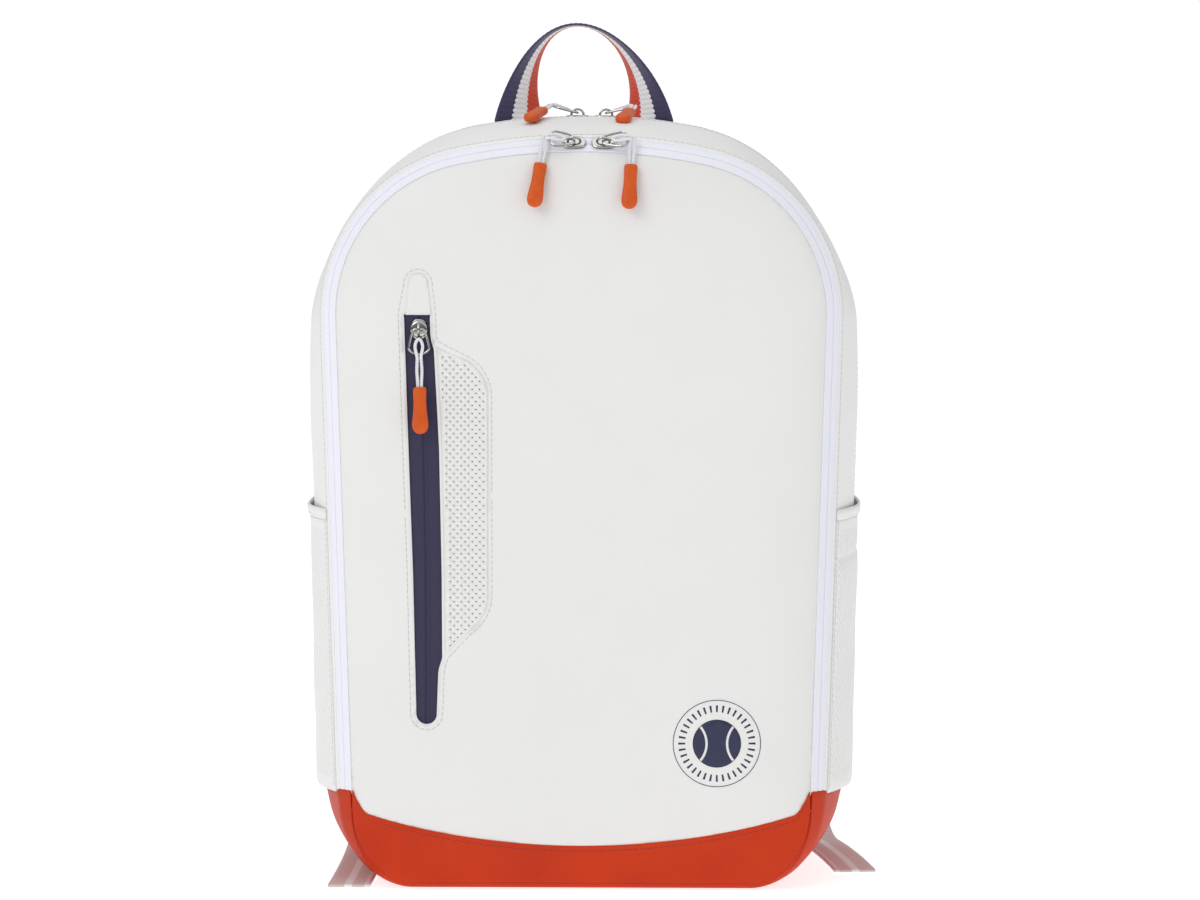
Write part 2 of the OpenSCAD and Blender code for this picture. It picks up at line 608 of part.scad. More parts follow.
// A strip that follows the strap's line between shares a and b
module strap_strip(a, b, n, w0, w1, lift, t) {
    ts = steps(a, b, n);
    function row(q, h) = let(k = (q - a) / (b - a), w = w0 + (w1 - w0) * k)
        [for (e = [-0.5, 0, 0.5]) strap_mid(q) + e * w * strap_across(q) + h * strap_out(q)];
    sheet([for (q = ts) row(q, lift + t)], [for (q = ts) row(q, lift)]);
}

function strap_row(t, h) = [for (e = [-0.5, -0.42, 0, 0.42, 0.5])
    strap_mid(t) + e * strap_width(t) * strap_across(t) + h * (abs(e) > 0.45 ? 0.5 : 1) * strap_out(t)];
module shoulder_strap(side) color("whitesmoke") sided(side)
    sheet([for (t = steps(0.02, pad_end, 16)) strap_row(t, 5)],
        [for (t = steps(0.02, pad_end, 16)) strap_row(t, -3)]);

lock_at = 0.785;   // where the ladder lock sits along the strap
web_w = 25;
// The webbing: a loop that holds the lock, the run down to the tab, and the free tail
module strap_webbing(side) {
    k = side < 0 ? 0 : 1;
    line = tail_line(tail_turn[k], tail_side[k], tail_end[k]);
    color("navy") sided(side) webbing_run(line);
}
module webbing_run(line) {
    strap_strip(pad_end + 0.005, 0.757, 2, web_w, web_w, 0.8, 1.4);
    strap_strip(lock_at - 0.02, 1, 8, web_w, web_w, -1.5, 1.5);
    sheet([for (i = [0:len(line) - 1]) tail_row(line, i, 0.75)],
        [for (i = [0:len(line) - 1]) tail_row(line, i, -0.75)]);
}
// Each tail, left then right, hangs from the lock, turns forward on the ground behind the boot
// and runs on beside it
tail_from = strap_mid(lock_at + 0.05) + [0, 3.5, 0];
tail_turn = [[135, back_y + 14, 2], [139, back_y + 14, 2]];
tail_side = [[134, back_y - 60, 1.2], [153, back_y - 22, 1.2]];
tail_end = [[137, back_y - 168, 1.5], [163, back_y - 105, 1.5]];
function bend(a, b, c, k) = (1 - k) * (1 - k) * a + 2 * k * (1 - k) * b + k * k * c;
function tail_line(turn, side, end) = concat(
    [for (k = steps(0, 0.92, 6)) bend(tail_from, [126, back_y + 36, 38], turn + [1, 14, 1], k)],
    [for (k = steps(0, 1, 6)) bend(turn + [2, 3, 0], side, end, k)]);
function tail_row(line, i, lift) =
    let(run = unit(line[min(len(line) - 1, i + 1)] - line[max(0, i - 1)]),
        w = square_to(run, [1, 0, 0]), n = cross(run, w))
    [for (e = [-0.5, 0, 0.5]) line[i] + e * web_w * w + lift * n];

// Ladder lock: a frame with three cross bars, in a frame where x runs down the strap
module ladder_lock_body() color("dimgray") translate([0, 0, -1.6]) linear_extrude(3.2) difference() {
    square([26, 34], center = true);
    for (x = [-8.4, 0, 8.4]) translate([x, 0]) square([5.2, 27], center = true);
}
module ladder_lock(side) sided(side)
    frame_at(strap_mid(lock_at) + 4.4 * strap_out(lock_at), strap_run(lock_at), strap_out(lock_at))
        ladder_lock_body();

// The tab that ties the webbing to the lower corner
module strap_tab(side) color("orangered") sided(side)
    translate([0, back_y + 4.2, 0]) rotate([-90, 0, 0]) mirror([0, 1, 0]) linear_extrude(2.4)
        polygon([[118, 34], [136, 34], [144, 62], [122, 66]]);

// ---------- nodes ----------

back_panel();
back_pad(-1);  // back_pad_left
back_pad(1);  // back_pad_right
lumbar_pad();
frame_sheet();
rear_gusset();
middle_gusset();
divider();
laptop_sleeve();
main_zip_tape();
main_zip_coil();
front_zip_tape_rear();
front_zip_coil_rear();
boot_gusset();
boot_front();
front_panel_foot();
base_board();
side_pocket(-1);  // side_pocket_left
side_pocket(1);  // side_pocket_right
pocket_hem(-1);  // pocket_hem_left
pocket_hem(1);  // pocket_hem_right
strap_yoke();
strap_tab(-1);  // strap_tab_left
strap_tab(1);  // strap_tab_right
front_panel();
front_zip_tape_front();
front_zip_coil_front();
pocket_zip_tape();
pocket_zip_coil();
perforated_panel();
zip_garage();
pocket_bag();
badge();
front_slider(-1);  // slider_front_left
front_pull(-1);  // pull_front_left
front_cord(-1) cord();  // cord_front_left
front_cord(-1) grip();  // grip_front_left
front_slider(1);  // slider_front_right
front_pull(1);  // pull_front_right
front_cord(1) cord();  // cord_front_right
front_cord(1) grip();  // grip_front_right
main_slider(-1);  // slider_main_left
main_pull(-1);  // pull_main_left
main_cord(-1) cord();  // cord_main_left
main_cord(-1) grip();  // grip_main_left
main_slider(1);  // slider_main_right
main_pull(1);  // pull_main_right
main_cord(1) cord();  // cord_main_right
main_cord(1) grip();  // grip_main_right
at_pocket(pocket_at, pocket_down) slider(both_tapes);  // slider_pocket
at_pocket(pocket_pivot, pocket_down) pull();  // pull_pocket
at_pocket(pocket_end, pocket_cord_x) rotate([90, 0, 0]) cord();  // cord_pocket
at_pocket(pocket_end, pocket_cord_x) grip();  // grip_pocket
grab_handle();
shoulder_strap(-1);  // shoulder_strap_left
strap_webbing(-1);  // strap_webbing_left
ladder_lock(-1);  // ladder_lock_left
shoulder_strap(1);  // shoulder_strap_right
strap_webbing(1);  // strap_webbing_right
ladder_lock(1);  // ladder_lock_right
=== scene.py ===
import bpy, bmesh, json, math
import numpy as np
from mathutils import Matrix, Vector, noise
from mathutils.geometry import delaunay_2d_cdt


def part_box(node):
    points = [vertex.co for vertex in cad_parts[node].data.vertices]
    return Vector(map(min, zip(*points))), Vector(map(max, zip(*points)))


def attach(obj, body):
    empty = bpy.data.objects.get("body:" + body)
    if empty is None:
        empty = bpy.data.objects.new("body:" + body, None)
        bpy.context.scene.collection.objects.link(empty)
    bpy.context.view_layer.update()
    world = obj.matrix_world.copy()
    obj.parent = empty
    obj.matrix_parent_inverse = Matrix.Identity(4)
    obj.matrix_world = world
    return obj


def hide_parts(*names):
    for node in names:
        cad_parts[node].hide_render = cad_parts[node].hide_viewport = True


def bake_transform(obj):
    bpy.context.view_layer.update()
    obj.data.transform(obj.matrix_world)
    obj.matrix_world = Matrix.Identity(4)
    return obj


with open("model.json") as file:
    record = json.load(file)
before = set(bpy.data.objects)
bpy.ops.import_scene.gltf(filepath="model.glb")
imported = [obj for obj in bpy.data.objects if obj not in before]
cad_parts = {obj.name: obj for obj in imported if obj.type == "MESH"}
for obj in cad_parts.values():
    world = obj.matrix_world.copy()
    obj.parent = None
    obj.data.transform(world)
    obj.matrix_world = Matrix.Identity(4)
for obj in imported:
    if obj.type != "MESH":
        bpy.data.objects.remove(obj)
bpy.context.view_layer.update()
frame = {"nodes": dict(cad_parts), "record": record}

MM = 0.001
FOLD = "fold"                                # stands for the front panel's fold, between root and panel

# ---------- driving sizes, in millimetres, taken from the frame where it has them ----------


def box(node):
    low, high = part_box(node)
    return [v / MM for v in low], [v / MM for v in high]


def joint(name):
    return next(j for j in frame["record"]["behaviour"]["joints"] if j["name"] == name)


GAP = 0.2                                    # the CAD's clearance between soft solids
BACK_Y = box("back_panel")[0][1] - GAP       # plane of the back rim
FRONT_Y = box("front_zip_tape_front")[0][1] - 0.3
DEPTH = BACK_Y - FRONT_Y
TOP_Z = box("front_panel")[1][2] + 1.5       # top of the front rim
HALF_W = box("front_panel")[1][0] + 1.5      # half the front rim's width
CROWN = FRONT_Y - box("front_panel")[0][1]   # how far the front panel bulges
CROWN_POWER = 7
FACE_MID = 240                               # height of the face's middle
BOOT_SIDE = box("boot_gusset")[1][2]         # the boot's height on the sides
BOOT_MID, BOOT_RISE = 26.5, 21
POCKET_TOP = box("side_pocket_right")[1][2] + GAP + 12
TOP_R, CORNER_R, FOOT_W, FOOT_RX, FOOT_RZ = 350, 90, 100, 35, 45
SLOPE, ZIP_U = 0.95, 9                       # the front zipper's slanted band
MAIN_U, MAIN_W = 70, 14                      # the main zipper's band
FLARE_MAX, FLARE_BACK = 18.5, 14.5           # how far the back part stands out past the front rim
SIDE_SWELL, CORNER_SWELL = 1.2, 0.19
DIP_S, DIP_DOWN, DIP_UP = 2.4, 0.6, 0.75     # where the flare dips, round the upper corners

TOP_CZ = TOP_Z - TOP_R
CORNER_X = HALF_W - CORNER_R
TOP_ANGLE = math.asin(CORNER_X / (TOP_R - CORNER_R))
CORNER_CZ = TOP_CZ + (TOP_R - CORNER_R) * math.cos(TOP_ANGLE)
SIDE_X = FOOT_W + FOOT_RX
LEAN = (math.asin(CORNER_R / math.hypot(SIDE_X - CORNER_X, CORNER_CZ - FOOT_RZ))
        - math.atan2(SIDE_X - CORNER_X, CORNER_CZ - FOOT_RZ))
SIDE_TOP = (CORNER_X + CORNER_R * math.cos(LEAN), CORNER_CZ - CORNER_R * math.sin(LEAN))
MAIN_END = MAIN_U + MAIN_W
ZIP_D = SLOPE * ZIP_U


# ---------- the bag's skin, as in the CAD ----------

def clamp(v, low=0.0, high=1.0):
    return min(high, max(low, v))


def bell(v, width):
    return math.exp(-(v / width) ** 2)


def normal2(s):
    """Outward direction of the outline at s: foot 0 to 1, side to 2, corner to 3, top to 4."""
    if s < 0:
        a = math.pi
    elif s < 1:
        a = math.pi - s * (math.pi / 2 - LEAN)
    elif s < 2:
        a = math.pi / 2 + LEAN
    elif s < 3:
        a = math.pi / 2 + LEAN + (s - 2) * (TOP_ANGLE - math.pi / 2 - LEAN)
    else:
        a = TOP_ANGLE * (4 - s)
    return math.sin(a), math.cos(a)


def flare_share(z):
    return min(1, max(0, z) / BOOT_SIDE) ** 0.5


def swell(s, d):
    """The flare d at s: larger on the sides, smaller round the upper corners."""
    if d < ZIP_D:
        return d
    k = abs(s - DIP_S) / (DIP_DOWN if s < DIP_S else DIP_UP)
    dip = math.cos(math.pi / 2 * k) ** 2 if k < 1 else 0
    full = SIDE_SWELL if s < DIP_S else 1
    return ZIP_D + (d - ZIP_D) * (full - (full - CORNER_SWELL) * dip)


def outline(s, d):
    d = swell(s, d)
    if s < 0:
        return FOOT_W * (1 + s), 0
    if s < 2:
        if s < 1:
            x = FOOT_W + FOOT_RX * math.sin(s * math.pi / 2)
            z = FOOT_RZ * (1 - math.cos(s * math.pi / 2))
        else:
            x = SIDE_X + (s - 1) * (SIDE_TOP[0] - SIDE_X)
            z = FOOT_RZ + (s - 1) * (SIDE_TOP[1] - FOOT_RZ)
        f = d * flare_share(z)
        return x + f * math.cos(LEAN), z - f * math.sin(LEAN)
    n = normal2(s)
    if s < 3:
        return CORNER_X + (CORNER_R + d) * n[0], CORNER_CZ + (CORNER_R + d) * n[1]
    return (TOP_R + d) * n[0], TOP_CZ + (TOP_R + d) * n[1]


def side_s(z):
    """The outline's place at height z, on the foot or the side."""
    if z < FOOT_RZ:
        return math.acos(1 - z / FOOT_RZ) / (math.pi / 2)
    return 1 + (z - FOOT_RZ) / (SIDE_TOP[1] - FOOT_RZ)


def flare(u):
    """How far the skin stands out past the front rim at depth u."""
    if u < ZIP_U:
        return SLOPE * u
    if u < MAIN_U:
        return ZIP_D + (FLARE_MAX - ZIP_D) * math.sin(math.pi / 2 * (u - ZIP_U) / (MAIN_U - ZIP_U))
    if u < MAIN_END:
        return FLARE_MAX
    k = (u - MAIN_END) / (DEPTH - MAIN_END)
    return FLARE_MAX - (FLARE_MAX - FLARE_BACK) * (1 - math.cos(math.pi / 2 * min(k, 1)))


def skin(s, side, u, lift=0.0):
    x, z = outline(s, flare(u))
    n = normal2(s)
    return side * (x + lift * n[0]), FRONT_Y + u, z + lift * n[1]


# The outline's length from its foot, for evenly spaced stations [s, side]
S_TABLE = np.linspace(-1, 4, 1501)
_points = np.array([outline(s, FLARE_MAX) for s in S_TABLE])
L_TABLE = np.concatenate([[0], np.cumsum(np.hypot(*np.diff(_points, axis=0).T))])


def length_at(s):
    return float(np.interp(s, S_TABLE, L_TABLE))


def spaced(low, total, step):
    n = max(2, round(total / step))
    return [float(np.interp(low + total * i / n, L_TABLE, S_TABLE)) for i in range(n + 1)]


def arch(low_s, step):
    """Stations up the right side from low_s, over the top and down the left side."""
    half = spaced(length_at(low_s), length_at(4) - length_at(low_s), step)
    return [(s, 1) for s in half] + [(s, -1) for s in reversed(half[:-1])]


def cradle(high_s, step):
    """Stations down the right side from high_s, under the bag and up the left side."""
    half = spaced(0, length_at(high_s), step)
    return [(s, 1) for s in reversed(half)] + [(s, -1) for s in half[1:]]


def boot_z(x):
    """Height of the boot's upper edge on the front face: a shallow curve that steps up at the ends."""
    k = min(1, abs(x) / SIDE_X)
    end = max(0, (k - 0.93) / 0.07)
    return BOOT_MID + BOOT_RISE * k ** 2 + (BOOT_SIDE - BOOT_MID - BOOT_RISE) * end ** 1.6


def under_z(x):
    k = clamp((abs(x) - FOOT_W) / FOOT_RX)
    return FOOT_RZ * (1 - math.sqrt(1 - k * k))


# The front rim in polar form about the face's middle
_rim = np.array([outline(s, 0) for s in S_TABLE]) - [0, FACE_MID]
RIM_A = np.degrees(np.arctan2(_rim[:, 1], _rim[:, 0]))
RIM_R = np.hypot(_rim[:, 0], _rim[:, 1])


def rim_share(x, z):
    """Distance from the face's middle, as a share of the way to the rim."""
    a = math.degrees(math.atan2(z - FACE_MID, abs(x)))
    return math.hypot(x, z - FACE_MID) / float(np.interp(a, RIM_A, RIM_R))


def face_y(x, z):
    return FRONT_Y - CROWN * (1 - min(1, rim_share(x, z)) ** CROWN_POWER)


def ripple(x, y, z, size, seed=0.0):
    """Smooth noise from -1 to 1 with features of about size millimetres."""
    return noise.noise(Vector((x / size + seed, y / size - seed, z / size + 3.1 * seed)))


def on_face(x, z, lift=0.0):
    """A point lift in front of the padded panel, which is softly uneven inside its rim."""
    soft = 0.55 * ripple(x, 0, z, 75, 1.3) + 0.25 * ripple(x, 0, z, 32, 4.2)
    return x, face_y(x, z) - lift - soft * (1 - min(1, rim_share(x, z)) ** 6), z


# ---------- mesh makers ----------

def unit(v):
    v = Vector(v)
    return v / max(v.length, 1e-9)


def polar(cx, cz, r, degrees):
    """Points on an arc of radius r, or of radii (rx, rz)."""
    rx, rz = r if isinstance(r, tuple) else (r, r)
    turns = [math.radians(a) for a in degrees]
    return [(cx + rx * math.cos(a), cz + rz * math.sin(a)) for a in turns]


def around_circle(n):
    return [360 * i / n for i in range(n)]


def lengths(pts):
    """Length along a line of points, at each point."""
    out = [0.0]
    for a, b in zip(pts, pts[1:]):
        out.append(out[-1] + (b - a).length)
    return out


def link(name, mesh, *mats):
    o = bpy.data.objects.new(name, mesh)
    bpy.context.scene.collection.objects.link(o)
    for m in mats:
        mesh.materials.append(m)
    return o


def make(name, verts, faces, mat, uvs=None):
    mesh = bpy.data.meshes.new(name)
    mesh.from_pydata([[c * MM for c in v] for v in verts], [], faces)
    mesh.update()
    if uvs is not None:
        layer = mesh.uv_layers.new(name="UVMap")
        for loop in mesh.loops:
            layer.data[loop.index].uv = uvs[loop.vertex_index]
    mesh.polygons.foreach_set("use_smooth", [True] * len(mesh.polygons))
    return link(name, mesh, mat)


def grid(name, rows, mat, around=False, uvs=None, caps=False):
    """A surface through rows of points; around closes each row into a ring."""
    m = len(rows[0])
    verts = [p for row in rows for p in row]
    last = m if around else m - 1
    faces = [(i * m + j, i * m + (j + 1) % m, (i + 1) * m + (j + 1) % m, (i + 1) * m + j)
             for i in range(len(rows) - 1) for j in range(last)]
    if caps:
        faces.append(tuple(reversed(range(m))))
        faces.append(tuple(range((len(rows) - 1) * m, len(rows) * m)))
    return make(name, verts, faces, mat, uvs=uvs)


def shell(name, rows, mat):
    """A closed surface through rings of points."""
    return grid(name, rows, mat, around=True, caps=True)


def remesh(o, change):
    """Runs change on the object's mesh, opened for editing."""
    bm = bmesh.new()
    bm.from_mesh(o.data)
    change(bm)
    bm.to_mesh(o.data)
    bm.free()
    return o


def face_outwards(bm):
    bmesh.ops.recalc_face_normals(bm, faces=bm.faces)


def outward(o, toward):
    """Turns a sheet's faces so that they look away from the point toward."""
    c = Vector([v * MM for v in toward])

    def turn(bm):
        vote = sum(1 if f.normal.dot(f.calc_center_median() - c) > 0 else -1 for f in bm.faces)
        if vote < 0:
            bmesh.ops.reverse_faces(bm, faces=bm.faces)

    return remesh(o, turn)


def apply_modifiers(o):
    graph = bpy.context.evaluated_depsgraph_get()
    mesh = bpy.data.meshes.new_from_object(o.evaluated_get(graph))
    old = o.data
    o.modifiers.clear()
    o.data = mesh
    bpy.data.meshes.remove(old)
    return o


def round_edges(o, width, segments=2, degrees=30):
    b = o.modifiers.new("edge", "BEVEL")
    b.width, b.segments, b.limit_method = width * MM, segments, "ANGLE"
    b.angle_limit = math.radians(degrees)


def thicken(o, t, toward=(0, 0, FACE_MID), bevel=0.0):
    """Gives a sheet the thickness t, grown inwards, with softly rounded edges."""
    outward(o, toward)
    m = o.modifiers.new("thickness", "SOLIDIFY")
    m.thickness, m.offset = t * MM, -1
    m.use_even_offset = False
    if bevel:
        round_edges(o, bevel, degrees=50)
    return apply_modifiers(o)


def band(name, stations, us, mat, t, lift):
    """A strip of the skin over the stations and the depths us."""
    rows = [[skin(s, side, u, lift(s, side, u)) for u in us] for s, side in stations]
    runs = lengths([Vector(row[0]) for row in rows])
    uvs = [(u * MM, run * MM) for run in runs for u in us]
    return thicken(grid(name, rows, mat, uvs=uvs), t, bevel=min(0.4, t * 0.4))


def tube(name, path, radius, mat, sides=12, closed=False):
    """A round bar along path."""
    pts = [Vector(p) for p in path]
    n = len(pts)
    tangents = []
    for i in range(n):
        a = pts[(i - 1) % n] if closed or i else pts[0]
        b = pts[(i + 1) % n] if closed or i < n - 1 else pts[-1]
        tangents.append(unit(b - a))
    normal = unit(tangents[0].orthogonal())
    rows, uvs = [], []
    for p, t, run in zip(pts, tangents, lengths(pts)):
        normal = unit(normal - t * normal.dot(t))
        side = t.cross(normal)
        rows.append([p + radius * (math.cos(a) * normal + math.sin(a) * side)
                     for a in (2 * math.pi * k / sides for k in range(sides))])
        uvs += [(k / sides, run * MM) for k in range(sides)]
    if closed:
        rows.append(rows[0])
        uvs += uvs[:sides]
    return grid(name, rows, mat, around=True, uvs=uvs, caps=not closed)


def join(name, objs):
    """One object from several, which then has one name and one body."""
    bm = bmesh.new()
    mats = []
    for o in objs:
        table = []
        for m in o.data.materials:
            if m not in mats:
                mats.append(m)
            table.append(mats.index(m))
        before = len(bm.faces)
        bm.from_mesh(o.data)
        bm.faces.ensure_lookup_table()
        for f in bm.faces[before:]:
            f.material_index = table[f.material_index]
    mesh = bpy.data.meshes.new(name)
    bm.to_mesh(mesh)
    bm.free()
    for o in objs:
        old = o.data
        bpy.data.objects.remove(o)
        bpy.data.meshes.remove(old)
    return link(name, mesh, *mats)


def settle(o, body, *nodes):
    """o stands for the CAD's nodes and moves with body; on the fold its placement is only baked into its mesh.
    """
    if nodes:
        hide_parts(*nodes)
    if body == FOLD:
        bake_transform(o)
        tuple(FOLD_START)
        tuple(FOLD_END)
    else:
        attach(o, body)
    return o


# Share of a stitch's length and its height there, and half its cross-section
STITCH_RUN = ((0, 0.25), (0.15, 0.8), (0.5, 1), (0.85, 0.8), (1, 0.25))
STITCH_ROUND = ((-1, -0.4), (-0.7, 0.6), (0, 1), (0.7, 0.6), (1, -0.4))
STITCH_SPACE, STITCH_W, STITCH_SINK = 0.9, 0.55, 0.12


def stitches(name, path, out, mat, length=2.6, height=0.28):
    """A row of stitches along path, as small raised beads. out gives the surface's normal at a point."""
    pts = [Vector(p) for p in path]
    cum = lengths(pts)
    n = max(1, int(cum[-1] / (length + STITCH_SPACE)))
    pitch = cum[-1] / n
    axes = [[p[i] for p in pts] for i in range(3)]
    verts, faces = [], []

    def at(d):
        return Vector([float(np.interp(d, cum, axis)) for axis in axes])

    for i in range(n):
        a, b = at(i * pitch + STITCH_SPACE / 2), at((i + 1) * pitch - STITCH_SPACE / 2)
        up = unit(out((a + b) / 2))
        w = unit(unit(b - a).cross(up))
        base = len(verts)
        for k, h in STITCH_RUN:
            c = a + (b - a) * k
            verts += [c + w * (dx * STITCH_W / 2 * (0.6 + 0.4 * h)) + up * (dz * height * h - STITCH_SINK)
                      for dx, dz in STITCH_ROUND]
        for r in range(base, base + 20, 5):
            faces += [(r + c, r + c + 1, r + c + 6, r + c + 5) for c in range(4)]
            faces.append((r + 4, r, r + 5, r + 9))
        faces.append(tuple(range(base + 4, base - 1, -1)))
        faces.append(tuple(range(base + 20, base + 25)))
    return remesh(make(name, verts, faces, mat), face_outwards)


def skin_normal(p):
    """Outward normal of the side skin near a point, good enough for a stitch."""
    x, y, z = p
    if z > CORNER_CZ:
        on_top = abs(x) < CORNER_X * (z - TOP_CZ) / (CORNER_CZ - TOP_CZ)
        return Vector((x, 0, z - TOP_CZ) if on_top else (x - math.copysign(CORNER_X, x), 0, z - CORNER_CZ))
    if z < 3:
        return Vector((0, 0, -1))
    if z < FOOT_RZ:
        return Vector((x - math.copysign(FOOT_W - 20, x), 0, (z - FOOT_RZ) * 0.6))
    return Vector((math.copysign(1, x), 0, 0))


def face_normal(p):
    x, y, z = p
    dx = (face_y(x + 1, z) - face_y(x - 1, z)) / 2
    dz = (face_y(x, z + 1) - face_y(x, z - 1)) / 2
    return Vector((dx, -1, dz))


def back_normal(p):
    return Vector((0, 1, 0))


# ---------- materials ----------

class Nodes:
    """A small helper that adds shader nodes and joins them."""

    def __init__(self, name):
        self.mat = bpy.data.materials.new(name)
        self.mat.use_nodes = True
        self.tree = self.mat.node_tree

    def new(self, kind, **values):
        n = self.tree.nodes.new(kind)
        for key, v in values.items():
            if hasattr(n, key):
                setattr(n, key, v)
            else:
                n.inputs[key.replace("_", " ")].default_value = v
        return n

    def put(self, v, socket):
        """Sets a socket to a number or a colour, or joins it to another node's output."""
        if isinstance(v, (int, float)):
            socket.default_value = v
        elif isinstance(v, tuple):
            socket.default_value = (*v, 1)
        elif v is not None:
            self.tree.links.new(v, socket)

    def coords(self, kind="Object"):
        return self.new("ShaderNodeTexCoord").outputs[kind]

    def axes(self, kind="Object"):
        sep = self.new("ShaderNodeSeparateXYZ")
        self.put(self.coords(kind), sep.inputs[0])
        return sep.outputs

    def math(self, op, a, b=None):
        n = self.new("ShaderNodeMath", operation=op)
        self.put(a, n.inputs[0])
        self.put(b, n.inputs[1])
        return n.outputs[0]

    def add(self, a, b):
        return self.math("ADD", a, b)

    def mul(self, a, b):
        return self.math("MULTIPLY", a, b)

    def wave(self, along, pitch):
        """A sine that repeats every pitch millimetres."""
        return self.math("SINE", self.mul(along, 2 * math.pi / (pitch * MM)))

    def noise(self, scale, detail=3.0):
        n = self.new("ShaderNodeTexNoise", Scale=scale, Detail=detail)
        self.put(self.coords(), n.inputs["Vector"])
        return n.outputs["Fac"]

    def pebbles(self, scale):
        n = self.new("ShaderNodeTexVoronoi", feature="DISTANCE_TO_EDGE", Scale=scale)
        self.put(self.coords(), n.inputs["Vector"])
        return n.outputs["Distance"]

    def ramp(self, fac, *stops):
        n = self.new("ShaderNodeValToRGB")
        self.put(fac, n.inputs["Fac"])
        el = n.color_ramp.elements
        while len(el) < len(stops):
            el.new(0.5)
        for e, (pos, col) in zip(el, stops):
            e.position = pos
            e.color = (*(col if isinstance(col, tuple) else (col, col, col)), 1)
        return n.outputs["Color"]

    def mix(self, fac, a, b, kind="MIX"):
        n = self.new("ShaderNodeMix", data_type="RGBA", blend_type=kind)
        for socket, v in ((n.inputs[0], fac), (n.inputs[6], a), (n.inputs[7], b)):
            self.put(v, socket)
        return n.outputs[2]

    def bump(self, height, distance, strength=1.0, under=None):
        n = self.new("ShaderNodeBump", Strength=strength, Distance=distance * MM)
        self.put(height, n.inputs["Height"])
        self.put(under, n.inputs["Normal"])
        return n.outputs["Normal"]

    def finish(self, color, rough, normal=None, **values):
        bsdf = self.tree.nodes["Principled BSDF"]
        for value, name in ((color, "Base Color"), (rough, "Roughness"), (normal, "Normal")):
            self.put(value, bsdf.inputs[name])
        for key, v in values.items():
            bsdf.inputs[key.replace("_", " ")].default_value = v
        return self.mat


def leather(name, color, shade, rough=0.5, grain=0.09, gloss=0.42):
    """Coated fabric with a fine pebbled grain. shade is the colour of its slightly darker patches."""
    n = Nodes(name)
    patches = n.ramp(n.noise(22, 4), (0.3, shade), (0.7, color))
    pebble = n.mul(n.math("MINIMUM", n.pebbles(1500), 0.25), 2)
    low = n.bump(n.noise(60, 2), 0.35, 0.25)
    normal = n.bump(n.add(pebble, n.noise(900, 2)), grain, 0.55, low)
    r = n.add(n.mul(n.noise(45, 3), 0.12), rough - 0.06)
    return n.finish(patches, r, normal, Specular_IOR_Level=gloss)


def woven(name, color, dark, rough=0.5):
    """Fine plain weave from the object's own coordinates, with painted shade where the threads dip under."""
    n = Nodes(name)
    x, y, z = n.axes()
    h = n.mul(n.wave(n.add(x, y), 0.7), n.wave(z, 0.7))
    # Painted shade: the colour turns to dark where the weave is low.
    color = n.ramp(n.add(n.mul(h, 0.3), 0.5), (0.2, dark), (0.75, color))
    return n.finish(color, rough, n.bump(h, 0.12, 0.6), Sheen_Weight=0.15)


def tape_cloth(name, color, dark):
    """Zipper tape: fine ribs along its length and threads across them, from the UVs in metres, with painted
    shade in the hollows between them.
    """
    n = Nodes(name)
    u, v, _ = n.axes("UV")
    h = n.add(n.mul(n.wave(u, 0.75), 0.5), n.mul(n.wave(v, 0.6), 0.35))
    # Painted shade: the colour turns to dark in the hollows of ribs and threads.
    color = n.ramp(n.add(n.mul(h, 0.4), 0.5), (0.05, dark), (0.7, color))
    return n.finish(color, 0.75, n.bump(h, 0.12, 0.6), Sheen_Weight=0.2)


def metal(name):
    """Polished plating with painted reflections: the base colour is ramped by the reflection's direction, so
    that dark and bright parts of a studio are painted into it.
    """
    n = Nodes(name)
    # Painted reflection: how far the reflection looks up picks a dark or a bright band of colour.
    height = n.add(n.mul(n.axes("Reflection")[2], 0.5), 0.5)
    color = n.ramp(height, (0.08, (0.16, 0.15, 0.14)), (0.36, (0.62, 0.61, 0.59)), (0.47, 0.10),
                   (0.58, (0.34, 0.33, 0.32)), (0.7, (0.86, 0.85, 0.83)), (0.95, (0.50, 0.49, 0.48)))
    rough = n.add(n.mul(n.noise(700, 3), 0.1), 0.08)
    return n.finish(color, rough, n.bump(n.noise(500, 2), 0.02, 0.3), Metallic=1.0)


def plastic(name, color, dark, rough=0.42, gloss=0.5):
    n = Nodes(name)
    col = n.ramp(n.noise(180, 3), (0.25, dark), (0.75, color))
    r = n.add(n.mul(n.noise(400, 2), 0.14), rough - 0.07)
    return n.finish(col, r, n.bump(n.noise(2500, 2), 0.02, 0.5), Specular_IOR_Level=gloss)


def braid(name, color, dark):
    """Braided cord: two crossing families of diagonal strands round the bar, with painted shade between the
    strands.
    """
    n = Nodes(name)
    u, v, _ = n.axes("UV")
    turn, run = n.mul(u, 2 * math.pi * 3), n.mul(v, 2 * math.pi / (1.6 * MM))
    h = n.math("MAXIMUM", n.math("SINE", n.add(turn, run)), n.math("SINE", n.math("SUBTRACT", turn, run)))
    # Painted shade: the colour turns to dark where neither strand is high.
    return n.finish(n.ramp(h, (0.0, dark), (0.6, color)), 0.8, n.bump(h, 0.1, 0.7), Sheen_Weight=0.2)


